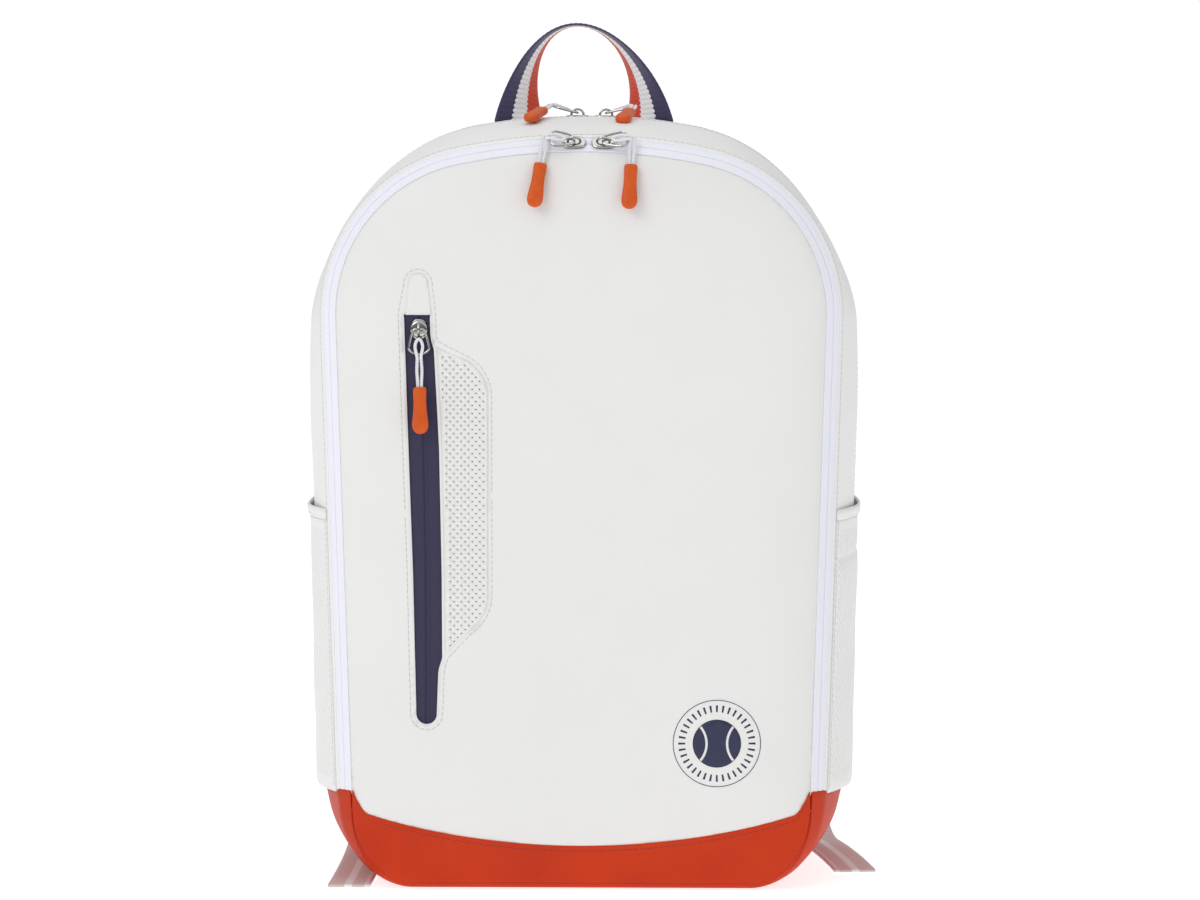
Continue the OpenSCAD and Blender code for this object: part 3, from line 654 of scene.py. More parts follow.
def webbing_cloth(name, stripes):
    """Ribbed webbing. U runs from 0 to 1 across it and V along it in metres. stripes lists (start, colour);
    each border is scalloped by the ribs."""
    n = Nodes(name)
    u, v, _ = n.axes("UV")
    rib = n.math("ABSOLUTE", n.wave(v, 2 * RIB))
    across = n.add(u, n.mul(n.math("SUBTRACT", rib, 0.5), 0.045))
    color = stripes[0][1]
    for start, c in stripes[1:]:
        color = n.mix(n.math("GREATER_THAN", across, start), color, c)
    thread = n.math("SINE", n.mul(u, 2 * math.pi * 42))
    weft = n.mul(n.wave(v, RIB / 2), 0.1)
    shade = n.ramp(n.add(n.add(n.mul(rib, 0.6), n.mul(thread, 0.12)), weft), (0.0, 0.62), (0.5, 1.0))
    normal = n.bump(n.add(rib, n.mul(thread, 0.25)), 0.18, 0.6)
    return n.finish(n.mix(0.55, color, shade, "MULTIPLY"), 0.8, normal, Sheen_Weight=0.2)


def air_mesh(name, pitch=3.6):
    """Spacer mesh: a regular field of small round holes, from three families of waves, with painted shade in
    the holes.
    """
    n = Nodes(name)
    x, _, z = n.axes()
    k = 4 * math.pi / (math.sqrt(3) * pitch * MM)
    waves = []
    for turn in (0, 60, 120):
        c, s = math.cos(math.radians(turn)), math.sin(math.radians(turn))
        waves.append(n.math("COSINE", n.add(n.mul(x, c * k), n.mul(z, s * k))))
    holes = n.math("DIVIDE", n.add(n.add(waves[0], waves[1]), waves[2]), 3)
    height = n.ramp(holes, (0.25, 1.0), (0.7, 0.0))
    # Painted shade: dark grey inside the holes, pale on the mesh between them.
    color = n.ramp(holes, (0.3, (0.70, 0.70, 0.71)), (0.6, (0.34, 0.34, 0.36)))
    return n.finish(color, 0.9, n.bump(height, 0.6, 0.8), Sheen_Weight=0.2)


def shaded_backing(name):
    """Cloth behind the perforations, coloured with painted shade: dark, and paler towards the zipper, where the
    panel lies close on it.
    """
    n = Nodes(name)
    # Painted shade: the colour runs from pale beside the zipper to dark 38 mm away from it, with some noise.
    run = n.math("DIVIDE", n.math("SUBTRACT", n.axes()[0], POCKET_X * MM), 38 * MM)
    painted_shade_run = n.add(run, n.mul(n.math("SUBTRACT", n.noise(120, 2), 0.5), 0.3))
    color = n.ramp(painted_shade_run, (0.2, (0.76, 0.76, 0.77)), (0.85, (0.22, 0.22, 0.24)))
    return n.finish(color, 0.8, n.bump(n.noise(900, 2), 0.1, 0.5))


RIB = 3.0                                    # pitch of the webbing's ribs
POCKET_X = sum(end[0] for end in box("pocket_zip_tape")) / 2
NAVY, CLOTH_WHITE, CLOTH_RED = (0.050, 0.042, 0.115), (0.90, 0.90, 0.92), (0.66, 0.058, 0.022)
# ROSE is painted light: a pale rose-grey that stands in for the strap webbing's navy and red stripes washed out
# by the bright light on the floor.
ROSE = (0.72, 0.56, 0.55)
WHITE = leather("white_leather", (0.80, 0.80, 0.79), (0.785, 0.785, 0.775))
# WHITE_SIDE is painted light: a slightly lighter copy of the white leather, so that the gussets, side pockets,
# back and straps, which the lamps light less than the front, look as bright as the front.
WHITE_SIDE = leather("white_leather_side", (0.84, 0.84, 0.835), (0.82, 0.82, 0.815), 0.48)
ORANGE = leather("orange_leather", (0.585, 0.038, 0.002), (0.51, 0.029, 0.002), 0.5, 0.13, 0.2)
LILAC = tape_cloth("lilac_tape", (0.87, 0.88, 0.95), (0.80, 0.81, 0.91))
NAVY_TAPE = tape_cloth("navy_tape", (0.032, 0.028, 0.078), (0.016, 0.014, 0.042))
NICKEL = metal("nickel")
CORD = braid("white_cord", (0.88, 0.88, 0.90), (0.62, 0.62, 0.66))
GRIP = plastic("orange_grip", (0.66, 0.100, 0.008), (0.58, 0.078, 0.005), gloss=0.3)
GREY_PLASTIC = plastic("grey_plastic", (0.11, 0.11, 0.12), (0.08, 0.08, 0.085), 0.45)
COIL_WHITE = plastic("white_coil", (0.84, 0.84, 0.88), (0.72, 0.72, 0.78), 0.35)
COIL_NAVY = plastic("navy_coil", (0.04, 0.035, 0.08), (0.02, 0.02, 0.05), 0.35)
BOARD = plastic("board", (0.05, 0.05, 0.055), (0.035, 0.035, 0.04), 0.6)
PRINT = plastic("print", (0.018, 0.022, 0.075), (0.014, 0.016, 0.06), 0.5)
LINING = woven("lining", (0.42, 0.42, 0.45), (0.28, 0.28, 0.31), 0.8)
THREAD_WHITE = woven("thread_white", (0.80, 0.80, 0.80), (0.62, 0.62, 0.62))
THREAD_GREY = woven("thread_grey", (0.66, 0.66, 0.66), (0.5, 0.5, 0.5))
THREAD_ORANGE = woven("thread_orange", (0.34, 0.035, 0.012), (0.25, 0.022, 0.008))
MESH = air_mesh("air_mesh")
BACKING = shaded_backing("perforation_backing")
WEBBING = webbing_cloth("tricolour_webbing", [(0, NAVY), (0.36, CLOTH_WHITE), (0.68, CLOTH_RED)])
# The strap webbing's rose stripes are painted light, paler than the webbing's own navy and red.
STRAP_WEB = webbing_cloth("strap_webbing",
                          [(0, CLOTH_WHITE), (0.14, ROSE), (0.44, CLOTH_WHITE), (0.62, ROSE)])


# ---------- front panel ----------

# Points 13 mm below and 22 mm above the panel's hinge
_, FOLD_Y, FOLD_Z = joint("front_panel_open")["pos_m"]
FOLD_START, FOLD_END = (0, FOLD_Y, FOLD_Z - 13 * MM), (0, FOLD_Y, FOLD_Z + 22 * MM)
POCKET_LOW, POCKET_HIGH = (end[2] for end in box("pocket_zip_tape"))
POCKET_LEAN = math.radians(0.9)
SLOT_LOW = POCKET_LOW + 5
# The opening's edges, as (share of its height, left, right): it is widest in the middle, steps in
# above and below the perforated field and narrows towards its round foot
POCKET_SHAPE = ((0, -5.9, 6.6), (0.11, -6.0, 8.0), (0.14, -6.1, 10.4), (0.35, -6.3, 11.0), (0.66, -7.6, 10.8),
                (0.91, -8.5, 8.8), (0.94, -8.6, 6.9), (1, -8.8, 6.7))
TAPE_LIFT = -0.9
INLAY_X, INLAY_R, INLAY_HIGH, INLAY_LOW = -54, 24, 292, 175
PERF_X, PERF_Z, PERF_R = 2.17, 4.7, 0.42     # the perforations' pitches and radius
BEHIND_FACE = (0, 60, FACE_MID)


def pocket_point(across, z):
    """A point of the pocket zipper's leaning frame: across its tape at height z."""
    return POCKET_X + across - (z - (POCKET_LOW + POCKET_HIGH) / 2) * math.tan(POCKET_LEAN), z


def pocket_edge(side, z):
    """How far the opening's left (-1) or right (1) edge is from the zipper's line at height z."""
    share = (z - SLOT_LOW) / (POCKET_HIGH - SLOT_LOW)
    shares, left, right = zip(*POCKET_SHAPE)
    return float(np.interp(share, shares, left if side < 0 else right))


def edge_line(side, grow, zs):
    """A line beside the opening's edge, grow away from it."""
    return [pocket_point(pocket_edge(side, z) + side * grow, z) for z in zs]


def slot_foot(grow, count):
    """A line round the opening's foot, from left to right."""
    left, right = pocket_edge(-1, SLOT_LOW), pocket_edge(1, SLOT_LOW)
    arc = polar((left + right) / 2, SLOT_LOW, (right - left) / 2 + grow, np.linspace(180, 360, count))
    return [pocket_point(x, z) for x, z in arc]


def slot_loop(grow):
    """The pocket opening, whose top meets the garage."""
    r = (pocket_edge(1, SLOT_LOW) - pocket_edge(-1, SLOT_LOW)) / 2 + grow
    high = POCKET_HIGH + grow
    m = int((high - SLOT_LOW) / 3)
    zs = [SLOT_LOW + (high - SLOT_LOW) * i / m for i in range(1, m + 1)]
    foot = slot_foot(grow, max(8, int(math.pi * r / 0.9)) + 1)
    return foot + edge_line(1, grow, zs) + edge_line(-1, grow, zs[::-1])


def inlay_loop(shrink=0.0):
    """The perforated field: straight beside the tape, with slanted ends and two rounded corners."""
    r = INLAY_R - shrink
    cx = INLAY_X - INLAY_R
    pts = edge_line(1, 1.4 + shrink, np.linspace(321 - 1.6 * shrink, 140 + 1.6 * shrink, 46))
    pts += polar(cx, INLAY_LOW, r, np.linspace(-55, 0, 12))
    pts += [(cx + r, z) for z in np.linspace(INLAY_LOW, INLAY_HIGH, 32)[1:-1]]
    return pts + polar(cx, INLAY_HIGH, r, np.linspace(0, 62, 13))


def inside(p, loop):
    x, z = p
    hit = False
    for (x0, z0), (x1, z1) in zip(loop, loop[1:] + loop[:1]):
        if (z0 > z) != (z1 > z) and x < (x1 - x0) * (z - z0) / (z1 - z0) + x0:
            hit = not hit
    return hit


def fill(loop, xs, zs):
    """The points of a lattice that lie inside a loop."""
    return [(x, z) for x in xs for z in zs if inside((x, z), loop)]


def loop_distance(points, loop):
    """Distance of each point from a closed loop, as an array."""
    p = np.array(points)[:, None, :]
    a = np.array(loop)[None, :, :]
    ab = np.roll(a, -1, axis=1) - a
    t = np.clip(((p - a) * ab).sum(2) / np.maximum((ab ** 2).sum(2), 1e-9), 0, 1)
    return np.sqrt(((a + t[..., None] * ab - p) ** 2).sum(2)).min(1)


def edge_roll(x, z):
    """The panel's padded edge turns back towards the tape."""
    d = (1 - rim_share(x, z)) * 150
    return 1.5 * (1 - math.exp(-d / 2.4)) - 1.0


def face_sheet(name, outer, mat, t, lift=0.0, holes=(), points=(), keep=None):
    """A piece of the front face: a triangulated sheet inside outer with holes, lifted and thickened."""
    holes, points = list(holes), list(points)
    for loop in [outer] + holes:
        if points:
            points = [p for p, d in zip(points, loop_distance(points, loop)) if d > 0.8]
    verts, edges = [], []
    for loop in [outer] + holes:
        base, n = len(verts), len(loop)
        verts += [Vector(p) for p in loop]
        edges += [(base + i, base + (i + 1) % n) for i in range(n)]
    verts += [Vector(p) for p in points]
    spots, _, triangles, *_ = delaunay_2d_cdt(verts, edges, [], 0, 1e-5)
    keep = keep or (lambda c: not any(inside(c, h) for h in holes))
    faces = []
    for f in triangles:
        c = tuple(sum(spots[i][k] for i in f) / len(f) for k in (0, 1))
        if inside(c, outer) and keep(c):
            faces.append(f)
    used = sorted({i for f in faces for i in f})
    index = {v: i for i, v in enumerate(used)}
    placed = [on_face(x, z, edge_roll(x, z) + lift) for x, z in (spots[i] for i in used)]
    o = make(name, placed, [tuple(index[i] for i in f) for f in faces], mat)
    return thicken(o, t, BEHIND_FACE)


def panel_rings():
    """Points inside the panel, in rings that lie closer together towards its rim."""
    pts = []
    near_rim = [0.993, 0.986, 0.978, 0.969, 0.958, 0.945, 0.93, 0.912, 0.892]
    for k in near_rim + list(np.linspace(0.87, 0.04, 40)):
        for a in around_circle(max(10, int(380 * k))):
            fold = a if a <= 90 else 180 - a if a <= 270 else a - 360
            pts += polar(0, FACE_MID, k * float(np.interp(fold, RIM_A, RIM_R)), [a])
    return [(x, z) for x, z in pts if z > boot_z(x) - 3]


def panel_outer():
    """The panel's edge: the rim, and a line behind the boot's upper edge."""
    right = [outline(s, 0.5) for s, side in arch(side_s(BOOT_SIDE - 1), 3.2) if side > 0]
    top = right + [(-x, z) for x, z in reversed(right[:-1])]
    xs = np.linspace(-top[0][0], top[0][0], 90)[1:-1]
    return top + [(float(x), boot_z(x) - 3) for x in xs]


def front_panel():
    o = face_sheet("front_panel_cover", panel_outer(), WHITE, 1.6, holes=[slot_loop(0), inlay_loop()],
                   points=panel_rings())
    settle(o, FOLD, "front_panel", "front_panel_foot")


def inlay_holes():
    """Centres of the perforations, in columns that are shifted by half a pitch in turn."""
    field = inlay_loop(2.0)
    (x0, z0), (x1, z1) = np.min(field, axis=0), np.max(field, axis=0)
    out = []
    for i in range(int((x1 - x0) / PERF_X) + 1):
        zs = [z0 + (j + i % 2 / 2) * PERF_Z for j in range(int((z1 - z0) / PERF_Z) + 1)]
        out += fill(field, [x1 - 0.6 - i * PERF_X], zs)
    return out


def front_inlay():
    centres = inlay_holes()
    rings = [polar(x, z, PERF_R, [22.5 + 45 * k for k in range(8)]) for x, z in centres]
    spots = np.array(centres)

    def keep(c):
        return float(((spots - c) ** 2).sum(1).min()) > (PERF_R * 0.9) ** 2

    o = face_sheet("front_inlay", inlay_loop(), WHITE, 0.7, holes=rings, keep=keep)
    settle(o, "front_panel", "perforated_panel")
    settle(face_sheet("inlay_backing", inlay_loop(-1.5), BACKING, 0.4, -1.9), "front_panel")


def garage_outline(grow=0.0):
    """The tab over the zipper's upper end: an arch that widens downwards."""
    x, z = pocket_point(0, POCKET_HIGH)
    top = polar(x - 0.4, z + 17.5, (5.9 + grow, 6.2 + grow), np.linspace(180, 0, 19))
    return top + [(x + side * (7.6 + grow), z - 0.6) for side in (1, -1)]


def front_garage():
    loop = garage_outline()
    points = fill(loop, np.arange(-110, -80, 1.6), np.arange(335, 370, 1.6))
    settle(face_sheet("zip_garage_cover", loop, WHITE, 1.0, 0.55, points=points), "front_panel", "zip_garage")


def pocket_stitches():
    """One row round the opening and the garage, and one outside the perforated field."""
    grow = 3.2
    left = edge_line(-1, grow, np.linspace(SLOT_LOW + 1, POCKET_HIGH, 60))
    low_right = edge_line(1, grow, np.linspace(138, SLOT_LOW, 12))
    top_right = edge_line(1, grow, np.linspace(POCKET_HIGH, 324, 5))
    field = inlay_loop(-2.2)[46:]
    upper = [p for p in field if p[1] > 233]
    lower = [p for p in field if p[1] <= 233]
    rows = [low_right + slot_foot(grow, 20)[::-1] + left[:30],
            left[30:] + garage_outline(2.4)[:19] + top_right,
            [top_right[-1]] + upper[::-1], lower[::-1] + [low_right[0]]]
    for i, row in enumerate(rows):
        path = [on_face(x, z, edge_roll(x, z) + 0.15) for x, z in row]
        o = stitches(f"pocket_stitches_{i + 1}", path, face_normal, THREAD_GREY, height=0.2)
        settle(o, "front_panel")


def pocket_zip():
    """The tape in the slot: a woven sheet with a reversed coil that shows as two low ridges."""
    ks = [float(k) for k in np.concatenate([np.linspace(-12, -3.6, 8), np.linspace(-3.2, 3.2, 23),
                                            np.linspace(3.6, 12, 8)])]
    rows, uvs = [], []
    for z in np.linspace(POCKET_LOW - 3, POCKET_HIGH + 3, 700):
        row = []
        bow = 1.5 * math.sin(math.pi * clamp((POCKET_HIGH - z) / (POCKET_HIGH - SLOT_LOW))) ** 0.8
        for k in ks:
            tooth = 0.5 + 0.5 * math.cos(2 * math.pi * z / 1.55 + (0 if k > 0 else math.pi))
            ridge = (0.35 + 0.4 * tooth) * bell(abs(k) - 1.35, 0.95) - 0.45 * bell(k, 0.4)
            row.append(on_face(*pocket_point(k + bow, z), TAPE_LIFT + ridge))
            uvs.append(((k + bow) * MM, z * MM))
        rows.append(row)
    o = thicken(grid("pocket_zip_cloth", rows, NAVY_TAPE, uvs=uvs), 0.5, BEHIND_FACE)
    settle(o, "front_panel", "pocket_zip_tape")
    path = [on_face(x, z, edge_roll(x, z) - 0.35) for x, z in slot_loop(0.15)]
    settle(tube("pocket_slot_lip", path, 0.42, WHITE, 8, closed=True), "front_panel")


def badge():
    """A printed tennis ball in a ring of ticks."""
    low, high = box("badge")
    cx, cz = (low[0] + high[0]) / 2, (low[2] + high[2]) / 2
    ball_r, seam_r, seam_w, ring_r = 14.2, 15.5, 0.7, 25.6

    def patch(loop, lift, mat):
        (x0, z0), (x1, z1) = np.min(loop, axis=0), np.max(loop, axis=0)
        points = fill(loop, np.arange(x0, x1, 2.5), np.arange(z0, z1, 2.5))
        return face_sheet("part", loop, mat, 0.12, lift, points=points)

    parts = [patch(polar(cx, cz, ball_r, range(0, 360, 6)), 0.12, PRINT)]
    for side in (-1, 1):
        # The seam is an arc that bows towards the middle of the ball
        outer, inner = (polar(cx + side * 21.5, cz, (-side * r, r), np.linspace(-45, 45, 19))
                        for r in (seam_r + seam_w, seam_r - seam_w))
        loop = [p for p in outer + inner[::-1] if math.hypot(p[0] - cx, p[1] - cz) < ball_r - 0.2]
        parts.append(patch(loop, 0.2, WHITE))
    for i in range(36):
        a = 2 * math.pi * i / 36
        ca, sa = math.cos(a), math.sin(a)
        loop = [(cx + r * ca - w * sa, cz + r * sa + w * ca)
                for r, w in ((18.6, -0.45), (22.6, -0.6), (22.6, 0.6), (18.6, 0.45))]
        parts.append(patch(loop, 0.12, PRINT))
    path = [on_face(x, z, edge_roll(x, z)) for x, z in polar(cx, cz, ring_r, range(0, 360, 3))]
    parts.append(tube("part", path, 0.24, PRINT, 6, closed=True))
    settle(join("badge_print", parts), FOLD, "badge")


# ---------- gussets, boot and pockets ----------

def gusset_lift(u0, u1, seed):
    """Padded gusset: swells between its two seams and ripples softly."""
    def lift(s, side, u):
        x, y, z = skin(s, side, u)
        rise = math.sin(math.pi * clamp((u - u0) / (u1 - u0)))
        wave = 0.7 * ripple(x, y, z, 46, seed) + 0.3 * ripple(x, y, z, 19, seed + 2)
        return 0.45 + 0.8 * rise ** 0.6 + wave * rise
    return lift


def gussets():
    stations = arch(side_s(BOOT_SIDE - 1), 4)
    # Each gusset's depths from its first edge, and the depths of its rows of stitches
    middle = (0, 0.5, 1.1, 1.8, 2.8, 4.5, 7, 10, 14, 19, 25, 31, 37, 43, 48, 52, 55.5, 58.4, 60.4, 61.5, 62.1)
    rear = (0, 0.6, 1.4, 2.6, 4.5, 7, 11, 16, 22, 29, 37, 45, 53, 60, 66, 71, 75, 77.6, 79.2, 80.1)
    for name, first, us, lift, seams in (
            ("middle", ZIP_U - 1.1, middle, gusset_lift(ZIP_U, MAIN_U, 2.0),
             {"front": ZIP_U + 1.6, "back": MAIN_U - 2.8}),
            ("rear", MAIN_END + 0.3, rear, gusset_lift(MAIN_END, DEPTH, 5.0), {"front": MAIN_END + 2.8})):
        o = band(name + "_gusset_cover", stations, [first + u for u in us], WHITE_SIDE, 2.0, lift)
        settle(o, "root", name + "_gusset")
        for end, u in seams.items():
            path = [skin(s, side, u, lift(s, side, u) + 0.2) for s, side in stations]
            settle(stitches(f"stitches_{name}_{end}", path, skin_normal, THREAD_WHITE), "root")


def half_tapes(stations, low, mid, high, slit, scale, base, groove):
    """The two halves of a zipper: a low ridge over each coil, a groove where they meet."""
    def lift(s, side, u):
        a = (u - mid) * scale
        return base + 0.3 * bell(abs(a) - 2.0, 1.3) - groove * bell(a, 0.5)

    return [band("half", stations, list(np.linspace(a, b, 14)), LILAC, 0.7, lift)
            for a, b in ((low, mid - slit), (mid + slit, high))]


def rename(o, name):
    o.name = o.data.name = name
    return o


def zip_bands():
    stations = arch(side_s(BOOT_SIDE - 0.5), 3)
    front, rear = half_tapes(stations, 0.2, ZIP_U / 2, ZIP_U + 0.4, 0.02, 1.38, 0, 0.1)
    settle(rename(front, "front_zip_cloth_front"), FOLD, "front_zip_tape_front")
    settle(rename(rear, "front_zip_cloth_rear"), "root", "front_zip_tape_rear")
    stations = arch(side_s(POCKET_TOP - 34), 3)
    halves = half_tapes(stations, MAIN_U - 0.3, MAIN_U + MAIN_W / 2, MAIN_END + 0.3, 0.12, 1, -0.55, 0.15)
    settle(join("main_zip_cloth", halves), "root", "main_zip_tape")


def round_under(edge, r):
    """How far a rounded edge of radius r has turned in, edge away from its end."""
    return 1 - math.sqrt(1 - max(0, 1 - edge / r) ** 2)


def boot_front():
    """From the ground's edge up to the curved hem."""
    xs = [SIDE_X * math.sin(math.radians(a)) for a in np.linspace(-90, 90, 121)]
    shares = (0, 0.02, 0.05, 0.075, 0.095, 0.115, 0.135, 0.155, 0.18, 0.21, 0.25, 0.32, 0.45, 0.6, 0.75, 0.86,
              0.93, 0.97, 1)
    rows = []
    for x in xs:
        low, high = under_z(x) + 0.3, boot_z(x)
        row = []
        for k in shares:
            z = low + k * (high - low)
            edge = z - under_z(x)
            lip = 0.75 + 0.25 * bell(high - z - 1.2, 1.4) - 0.7 * bell(edge - 3.6, 0.6)
            soft = 0.35 * ripple(x, 0, z, 30, 8.0) * (1 - abs(2 * k - 1))
            row.append((x, face_y(x, z) - lip - soft + 3.6 * round_under(edge, 5.5), z))
        rows.append(row)
    o = thicken(grid("boot_front_cover", rows, ORANGE), 1.8, (0, 60, 60), bevel=0.4)
    settle(o, "root", "boot_front")
    path = [(x, face_y(x, boot_z(x) - 3.3) - 0.95, boot_z(x) - 3.3) for x in xs[6:-6]]
    settle(stitches("boot_stitches_front", path, face_normal, THREAD_ORANGE, length=2.9), "root")


def boot_base():
    """The gusset and base piece: one strip under the bag."""
    def lift(s, side, u):
        x, y, z = skin(s, side, u)
        soft = 0.4 * ripple(x, y, z, 34, 9.0) * math.sin(math.pi * clamp(u / DEPTH))
        turned = 3.2 * (1 - flare_share(z)) * round_under(min(u, DEPTH - u), 5)
        return (0.35 + soft) * min(1, z / 10) + 0.35 * bell(BOOT_SIDE - z - 1.5, 1.6) - turned

    us = [0.6, 1.2, 2, 3.2, 4.6, 6.4, 9, 14] + list(np.linspace(20, 145, 20))
    us += [151, 156, 160, 162.5, 164, 164.8]
    o = band("boot_gusset_cover", cradle(side_s(BOOT_SIDE), 3), us, ORANGE, 1.8, lift)
    settle(o, "root", "boot_gusset")
    s = side_s(BOOT_SIDE - 3.4)
    rows = []
    for side in (1, -1):
        path = [skin(s, side, u, lift(s, side, u) + 0.15) for u in np.linspace(3, DEPTH - 2, 60)]
        rows.append(stitches("row", path, skin_normal, THREAD_ORANGE, length=2.9))
    settle(join("boot_stitches_side", rows), "root")


POCKET_U0, POCKET_U1 = ZIP_U + 2, 143        # depths of the side pockets' front and back edges


def pocket_skin(side, z, u, lift=0.0):
    """A point of a side pocket: it bulges between its seams, and the right one has a crease."""
    k = clamp((u - POCKET_U0) / (POCKET_U1 - POCKET_U0))
    rise = 4.2 - 1.6 * (z - BOOT_SIDE) / (POCKET_TOP - BOOT_SIDE)
    soft = 0.9 * ripple(side * 40, u, z, 38, 6.0 + side) * math.sin(math.pi * clamp((u - 8) / 138))
    crease = -0.9 * bell(z - 196 - 0.05 * (u - 60), 2.6) if side > 0 else 0
    return skin(side_s(z), side, u, 0.6 + rise * math.sin(math.pi * k) ** 0.7 + soft + crease + lift)


def perforated_cloth(side, name):
    """Cells in columns shifted by half a pitch in turn, each with a hole unless it is near an edge."""
    cols = int((POCKET_U1 - POCKET_U0) / PERF_X)
    du, dz = (POCKET_U1 - POCKET_U0) / cols, PERF_Z / 2
    z_low = BOOT_SIDE - 2
    levels = int((POCKET_TOP - 10 - z_low) / dz)
    index, verts, faces = {}, [], []

    def vert(key, c, r, wide=1.0, mid=(0, 0)):
        """The vertex at column c and level r, or drawn in towards mid by the share wide."""
        if key not in index:
            index[key] = len(verts)
            u, z = ((m + (v - m) * wide) * d for v, m, d in zip((c, r), mid, (du, dz)))
            verts.append(pocket_skin(side, z_low + z, POCKET_U0 + u, 0.5))
        return index[key]

    for i in range(cols):
        start = i % 2
        cells = [(0, 1)] if start else []
        cells += [(j, j + 2) for j in range(start, levels - 1, 2)]
        if (levels - start) % 2:
            cells.append((levels - 1, levels))
        for a, b in cells:
            mid = (i + 0.5, (a + b) / 2)
            tall = b - a == 2
            ring = [(i, a), (i + 0.5, a), (i + 1, a)] + [(i + 1, mid[1])] * tall
            ring += [(i + 1, b), (i + 0.5, b), (i, b)] + [(i, mid[1])] * tall
            outer = [vert((c, r), c, r) for c, r in ring]
            if not tall or i in (0, 1, cols - 1, cols - 2) or b > levels - 2 or a < 3:
                faces.append(tuple(outer))
                continue
            hole = [vert((i, a, k), c, r, PERF_R / math.hypot((c - mid[0]) * du, (r - mid[1]) * dz), mid)
                    for k, (c, r) in enumerate(ring)]
            faces += [(outer[k], outer[k - 7], hole[k - 7], hole[k]) for k in range(8)]
    return thicken(make(name, verts, faces, WHITE_SIDE), 0.7, (0, 0, 150))


def side_pocket(side, tag):
    o = perforated_cloth(side, "side_pocket_cloth_" + tag)
    settle(o, "root", "side_pocket_" + tag)
    # Lining behind the holes
    us = np.linspace(POCKET_U0 + 0.5, POCKET_U1 - 0.5, 30)
    rows = [[pocket_skin(side, z, u, -0.75) for u in us] for z in np.linspace(BOOT_SIDE, POCKET_TOP - 8, 40)]
    settle(thicken(grid("side_pocket_lining_" + tag, rows, LINING), 0.3, (0, 0, 150)), "root")
    # Rolled hem along the open edge
    profile = ((-6.5, 0.5), (-6, 1.2), (-3, 1.55), (-0.8, 1.4),
               (0, 0.7), (-0.3, 0.0), (-1, -0.2), (-6.4, -0.1))
    rows = [[pocket_skin(side, POCKET_TOP - 5.5 + dz, u, h + 0.4) for dz, h in profile]
            for u in np.linspace(POCKET_U0 - 0.6, POCKET_U1 + 0.6, 80)]
    settle(shell("pocket_hem_cover_" + tag, rows, WHITE_SIDE), "root", "pocket_hem_" + tag)
    us = np.linspace(POCKET_U0 + 1, POCKET_U1 - 1, 70)
    paths = [[pocket_skin(side, POCKET_TOP - 10.4, u, 1.75) for u in us]]
    for u in (POCKET_U0 + 1.6, POCKET_U1 - 1.6):
        paths.append([pocket_skin(side, z, u, 0.7) for z in np.linspace(BOOT_SIDE + 1, POCKET_TOP - 12, 40)])
    rows = [stitches("row", path, skin_normal, THREAD_WHITE) for path in paths]
    settle(join("side_pocket_stitches_" + tag, rows), "root")


# ---------- handle ----------

HANDLE_Z, HANDLE_TOP = box("grab_handle")[0][2], box("grab_handle")[1][2] - 1
HANDLE_Y = joint("handle_fold")["pos_m"][1] / MM
HANDLE_X, HANDLE_HALF, HANDLE_LEAN, HANDLE_W = -2.5, 40, 4, 30
HANDLE_SUNK = 7.5                            # how far its ends run down into the back panel's seam


def handle_mid(a):
    rise = max(0, math.sin(a))
    return Vector((HANDLE_X - HANDLE_HALF * math.cos(a) - HANDLE_LEAN * rise ** 2, HANDLE_Y,
                   HANDLE_Z + (HANDLE_TOP - HANDLE_Z) * rise ** 1.05))


def handle_frame(a):
    """Directions across the webbing and away from it; it twists nearly a quarter turn up to its top."""
    e = math.radians(2)
    t = unit(handle_mid(min(math.pi, a + e)) - handle_mid(max(0, a - e)))
    twist = math.radians(88) * max(0, math.sin(a)) ** 0.5
    across = math.cos(twist) * Vector((-t[2], 0, t[0])) - math.sin(twist) * Vector((0, 1, 0))
    return across, unit(t.cross(across))


def handle():
    n = 420
    turns = [math.pi * i / n for i in range(n + 1)]
    pts = [handle_mid(a) for a in turns]
    down = [Vector((0, 0, HANDLE_SUNK * i / 5)) for i in range(1, 6)]
    pts = [pts[0] - d for d in reversed(down)] + pts + [pts[-1] - d for d in down]
    turns = [0] * 5 + turns + [math.pi] * 5
    rows, uvs = [], []
    for a, p, run in zip(turns, pts, lengths(pts)):
        across, normal = handle_frame(a)
        rib = abs(math.sin(math.pi * run / RIB))
        row = []
        for side in (1, -1):
            for k in np.linspace(-0.5, 0.5, 17)[::side]:
                width = HANDLE_W + (0.12 * (rib - 0.5) if abs(k) > 0.45 else 0)
                thick = (0.6 + 0.24 * rib) * (1 - 0.65 * abs(2 * k) ** 8)
                row.append(p + across * (k * width) + normal * (side * thick))
                uvs.append((0.5 - k, run * MM))
        rows.append(row)
    o = grid("grab_handle_webbing", rows, WEBBING, around=True, uvs=uvs, caps=True)
    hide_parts("grab_handle")
    held, free = ((HANDLE_X * MM, HANDLE_Y * MM, (HANDLE_Z + d) * MM) for d in (-1, 9))
    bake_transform(o)
    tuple(held)
    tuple(free)


# ---------- sliders, pulls, cords and grips ----------

PULL_LEN, CORD_LEN, PIVOT_H = 14.5, 16, 3.4
PULL_RISE = {"front": 7, "main": 15, "pocket": 0}
# The grip's stations: (distance, half width, half thickness)
GRIP_SHAPE = ((0.0, 2.6, 1.6), (0.25, 3.6, 2.3), (0.9, 3.95, 2.6), (4, 3.9, 2.7), (8, 3.75, 2.7),
              (12, 3.8, 2.8), (16, 4.2, 2.9), (20, 4.7, 3.0), (22.5, 4.8, 3.0), (24.6, 4.45, 2.75),
              (26.2, 3.5, 2.2), (27.1, 2.1, 1.4), (27.5, 0.7, 0.5))


